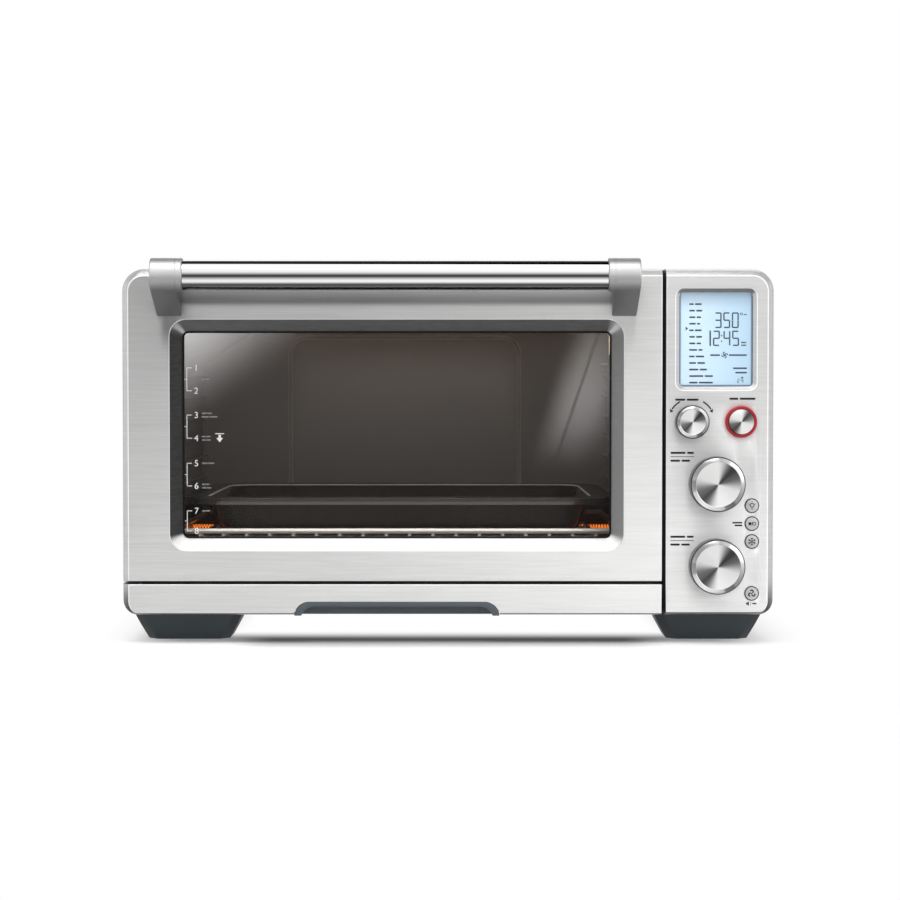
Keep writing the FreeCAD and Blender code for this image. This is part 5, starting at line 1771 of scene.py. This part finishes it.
mesh = bmesh.new()
ends = ((0.0, cover_low[1]), (0.0, cover_high[1]), (sheet, cover_high[1]), (sheet, cover_low[1]))
loft(mesh, [(body_outline(inset), y) for inset, y in ends], closed=True)
cover = finish_mesh(mesh, "cover_sheet", steel_cover, "oven")
vent_y = cover_high[1] + sheet - (26.0 + 36.0) * MM
vent_rows = [(x, z) for x in (left_x, right_x) for z in (top_z - 40 * MM, bottom_z + 40 * MM)]
vents = [(x, y, z) for x, z in vent_rows for y in slot_row(vent_y, 8)]
punch(cover, side_slots, vents, 7.2 * MM)
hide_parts("outer_cover")
print("cover with", len(cover.data.polygons), "faces")

# %% Back plate, screws and feet
rear_low, rear_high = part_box("rear_cover")
bush_x, _, bush_z = middle_of("cord_bush")
mesh = bmesh.new()
prism(mesh, body_outline(0.0), rear_low[1], rear_high[1])
back_plate = finish_mesh(mesh, "back_plate", coated_sheet, "oven")
rows = slot_row(door_x, 8) + slot_row(bush_x, 4)
punch(back_plate, back_slots, [(x, rear_low[1], top_z - 40 * MM) for x in rows], 9 * MM)
cut(back_plate, cutter([circle(bush_x, bush_z, 6.8 * MM, 40)], 0.2, 0.23))
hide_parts("rear_cover")

rear_points = [(x, rear_high[1], z) for x in (-0.245, 0.0, 0.245) for z in (0.050, 0.297)]
left_points = [(left_x + 0.88 * MM, y, 0.042) for y in (-0.115, 0.02, 0.19)]
right_points = [(right_x - 0.88 * MM, y, 0.042) for y in (-0.115, 0.02, 0.19)]
under_points = [(x, y, bottom_z) for x in (-0.13, 0.06) for y in (-0.12, 0.18)]
for pattern, name, points, radius, height in (
    (back_screws, "back_screws", rear_points, 3.2, 1.4),
    (left_screws, "left_screws", left_points, 3.0, 1.0),
    (right_screws, "right_screws", right_points, 3.0, 1.0),
    (under_screws, "base_screws", under_points, 3.2, 1.4),
):
    pattern.build(name, points, dull_steel, "oven", "zinc_sheet", radius * MM, height * MM)


def foot_outline(x, y, across, along):
    """Rectangle with its corners cut off."""
    chamfer = 8 * MM
    points = []
    for a, b in ((1, 1), (-1, 1), (-1, -1), (1, -1)):
        upright_end = (x + a * across, y + b * (along - chamfer))
        level_end = (x + a * (across - chamfer), y + b * along)
        points += (upright_end, level_end)[::a * b]
    return points


foot_half = 47.5 * MM
foot_steps = (
    (0.0, -12.9, -9.6), (0.5, -12.5, -9.2), (12.0, -6.3, -4.6),
    (24.0, -0.5, -0.4), (25.1, -0.1, -0.1), (25.5, 0.0, 0.0),
)
for node in ("front_feet", "rear_feet"):
    low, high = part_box(node)
    y = middle_of(node)[1]
    half_depth = (high[1] - low[1]) / 2
    mesh = bmesh.new()
    for x in (low[0] + foot_half, high[0] - foot_half):
        outlines = []
        for z, narrow, shallow in foot_steps:
            points = foot_outline(x, y, foot_half + narrow * MM, half_depth + shallow * MM)
            outlines.append((points, z * MM))
        close_ends(mesh, loft(mesh, outlines, level))
    made = finish_mesh(mesh, node + "_moulded", foot_plastic, "oven")
    ease_edges(made, 0.8 * MM, 25)
    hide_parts(node)

profile = millimetres((
    (-3.5, 6.7), (0.0, 6.7), (0.0, 8.0), (1.5, 8.0), (5.8, 7.0), (7.0, 6.2), (7.0, 4.0),
    (-3.0, 4.0),
))
bush_start = (bush_x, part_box("cord_bush")[0][1] + 2.4 * MM, bush_z)
bush = turned_piece(
    "cord_inlet", black_plastic, "oven", bush_start, BACKWARD, profile, 48,
)
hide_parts("cord_bush")
print("back, screws and feet ready")

# %% [markdown]
# ## Inside the cavity
# The back wall has a pressed panel. The rack is welded from bright wire, and the pan is
# enamelled steel with a rolled rim. Quartz tubes hold wound wires that glow.

# %% Cavity back
wall_low, wall_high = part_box("cavity_back")
wall_z = middle_of("cavity_back")[2]
plate_y = wall_high[1] - sheet
boss = (wall_high[0] - wall_low[0] - 178 * MM, wall_high[2] - wall_low[2] - 64 * MM, 14 * MM)
mesh = bmesh.new()
border = rectangle(wall_low[0], wall_high[0], wall_low[2], wall_high[2])
edge_ring = add_ring(mesh, upright(border, plate_y))
outlines = []
for grow, rise in millimetres(
    ((4.2, 0.0), (3.2, 0.25), (2.4, 0.9), (1.1, 2.6), (0.3, 3.25), (-0.7, 3.5)),
):
    outlines.append((grown(door_x, wall_z, boss, grow, 10), plate_y - rise))
rings = loft(mesh, outlines)
fill_between(mesh, edge_ring, [rings[0]])
fill_between(mesh, rings[-1])
cavity_wall = finish_mesh(
    mesh, "cavity_rear_wall", wall_coat, "oven", face_out=FACING,
)
thicken(cavity_wall, sheet)
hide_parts("cavity_back")
print("cavity back ready")

# %% Rack
rack_low, rack_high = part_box("wire_rack")
rack_y = middle_of("wire_rack")[1]
rack_depth = rack_high[1] - rack_low[1]
frame_radius = 2.5 * MM
wire_radius = 1.4 * MM
frame_z = rack_high[2] - frame_radius
wire_z = frame_z - 3.5 * MM
wire_points = [(door_x + (index - 8.5) * 20 * MM, rack_y, wire_z) for index in range(18)]
cross_points = [(door_x, y, wire_z - 2.4 * MM) for y in (rack_low[1] + 10 * MM, rack_y)]
for pattern, name, points, length in (
    (depth_wires, "rack_wires", wire_points, rack_depth),
    (across_wires, "rack_cross_wires", cross_points, 342.8 * MM),
):
    pattern.build(name, points, chrome, "rack", "bright_wire", length, wire_radius)
rack_width = rack_high[0] - rack_low[0]
path = rounded(
    door_x, rack_y, rack_width - 2 * frame_radius, rack_depth - 2 * frame_radius, 5 * MM, 6,
)
mesh = bmesh.new()
rings = []
for index, (x, y) in enumerate(path):
    ahead = (Vector(path[(index + 1) % len(path)]) - Vector(path[index - 1])).normalized()
    outward = Vector((ahead[1], -ahead[0], 0))
    ring = []
    for step in range(16):
        angle = 2 * math.pi * step / 16
        sideways = outward * (frame_radius * math.cos(angle))
        rise = Vector(UP) * (frame_radius * math.sin(angle))
        ring.append(Vector((x, y, frame_z)) + sideways + rise)
    rings.append(add_ring(mesh, ring))
join_rings(mesh, rings + rings[:1])
rack_frame = finish_mesh(mesh, "rack_frame", chrome, "rack", 50)
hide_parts("wire_rack")
print("rack with", len(wire_points), "wires")

# %% Pan
pan_low, pan_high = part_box("roasting_pan")
pan_x, pan_y, _ = middle_of("roasting_pan")
rim = 40 * MM
pan_size = (pan_high[0] - pan_low[0] - rim, pan_high[1] - pan_low[1] - rim, 28 * MM)
outlines = []
for grow, rise in millimetres((
    (-20.0, 1.5), (-15.0, 1.9), (-11.6, 3.6), (-9.8, 6.5), (-1.9, 27.8), (-0.9, 29.3),
    (0.6, 30.0), (18.0, 30.0), (19.4, 29.4), (20.0, 28.0), (20.0, 24.0),
)):
    outlines.append((grown(pan_x, pan_y, pan_size, grow, 12), pan_low[2] + rise))
mesh = bmesh.new()
rings = loft(mesh, outlines, level)
fill_between(mesh, rings[0])
pan = finish_mesh(mesh, "enamelled_pan", enamel, "pan", face_out=UP)
thicken(pan, 1.4 * MM)
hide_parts("roasting_pan")
print("pan", [round((high - low) * 1000) for low, high in zip(pan_low, pan_high)], "mm")

# %% Quartz tubes and coils
tube_low, tube_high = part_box("quartz_tubes")
tube_x = middle_of("quartz_tubes")[0]
tube_length = tube_high[0] - tube_low[0]
tube_radius = 4.6 * MM
upper_points = [(tube_x, y, tube_high[2] - tube_radius) for y in (-0.0888, -0.0168, 0.0552, 0.1272)]
lower_points = [(tube_x, y, tube_low[2] + tube_radius) for y in (-0.0728, 0.0972)]
tubes = across_wires.build(
    "quartz_heaters", upper_points + lower_points, quartz, "oven", "quartz",
    tube_length, tube_radius,
)
coil_size = (tube_length - 4 * MM, 2.2 * MM, 0.4 * MM, 150.0)
coil_pattern.build("resting_coils", upper_points, cold_wire, "oven", "element_wire", *coil_size)
coils = coil_pattern.build(
    "glowing_coils", lower_points, hot_wire, "oven", "element_wire", *coil_size,
)
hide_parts("quartz_tubes")
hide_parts("heating_coils")
print("six heaters, coils of", len(coils.data.polygons), "faces")

# %% [markdown]
# ## Finishes for the pieces that keep their solids
# The remaining pieces already have their true shape in the frame, so they only get a finish.

# %% Finishes on the frame's own pieces
finishes = (
    (coated_sheet, "base_plate divider_wall door_inner_panel crumb_tray"),
    (slate_plastic, "rear_spacers"),
    (dull_steel, "front_frame fan_motor fan_shaft convection_fan cooling_fan"),
    (dull_steel, "hinge_arm_left hinge_arm_right hinge_bracket_left hinge_bracket_right"),
    (dull_steel, "temperature_sensor rotary_encoders select_shaft"),
    (rubber, "door_seal glass_seal"),
    (cavity_coat, "cavity_left_wall cavity_right_wall cavity_roof cavity_floor fan_cover"),
    (ceramic, "element_end_caps switch_plunger"),
    (lamp_light, "oven_lamp"),
    (clear_glass("lamp_glass", (0.95, 0.93, 0.88), 0.1), "lamp_lens"),
    (door_pane, "door_glass"),
    # The gap trim is black, a dark piece in the gap that stands for its shade.
    (black_plastic, "door_switch gap_trim"),
    (lit_display, "lcd_module"),
    (board_green, "control_board"),
)
for material, nodes in finishes:
    for node in nodes.split():
        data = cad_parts[node].data
        data.materials.clear()
        data.materials.append(material)
print("finishes on", sum(len(nodes.split()) for _, nodes in finishes), "pieces")

# %% [markdown]
# ## Size and end
# The dressed oven must stay inside the frame's box, so both boxes are written down.

# %% Sizes
visual_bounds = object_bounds()


for label, corners in (("frame", cad_bounds), ("dressed", visual_bounds)):
    print(label, [[round(value * 1000, 2) for value in corner] for corner in corners])
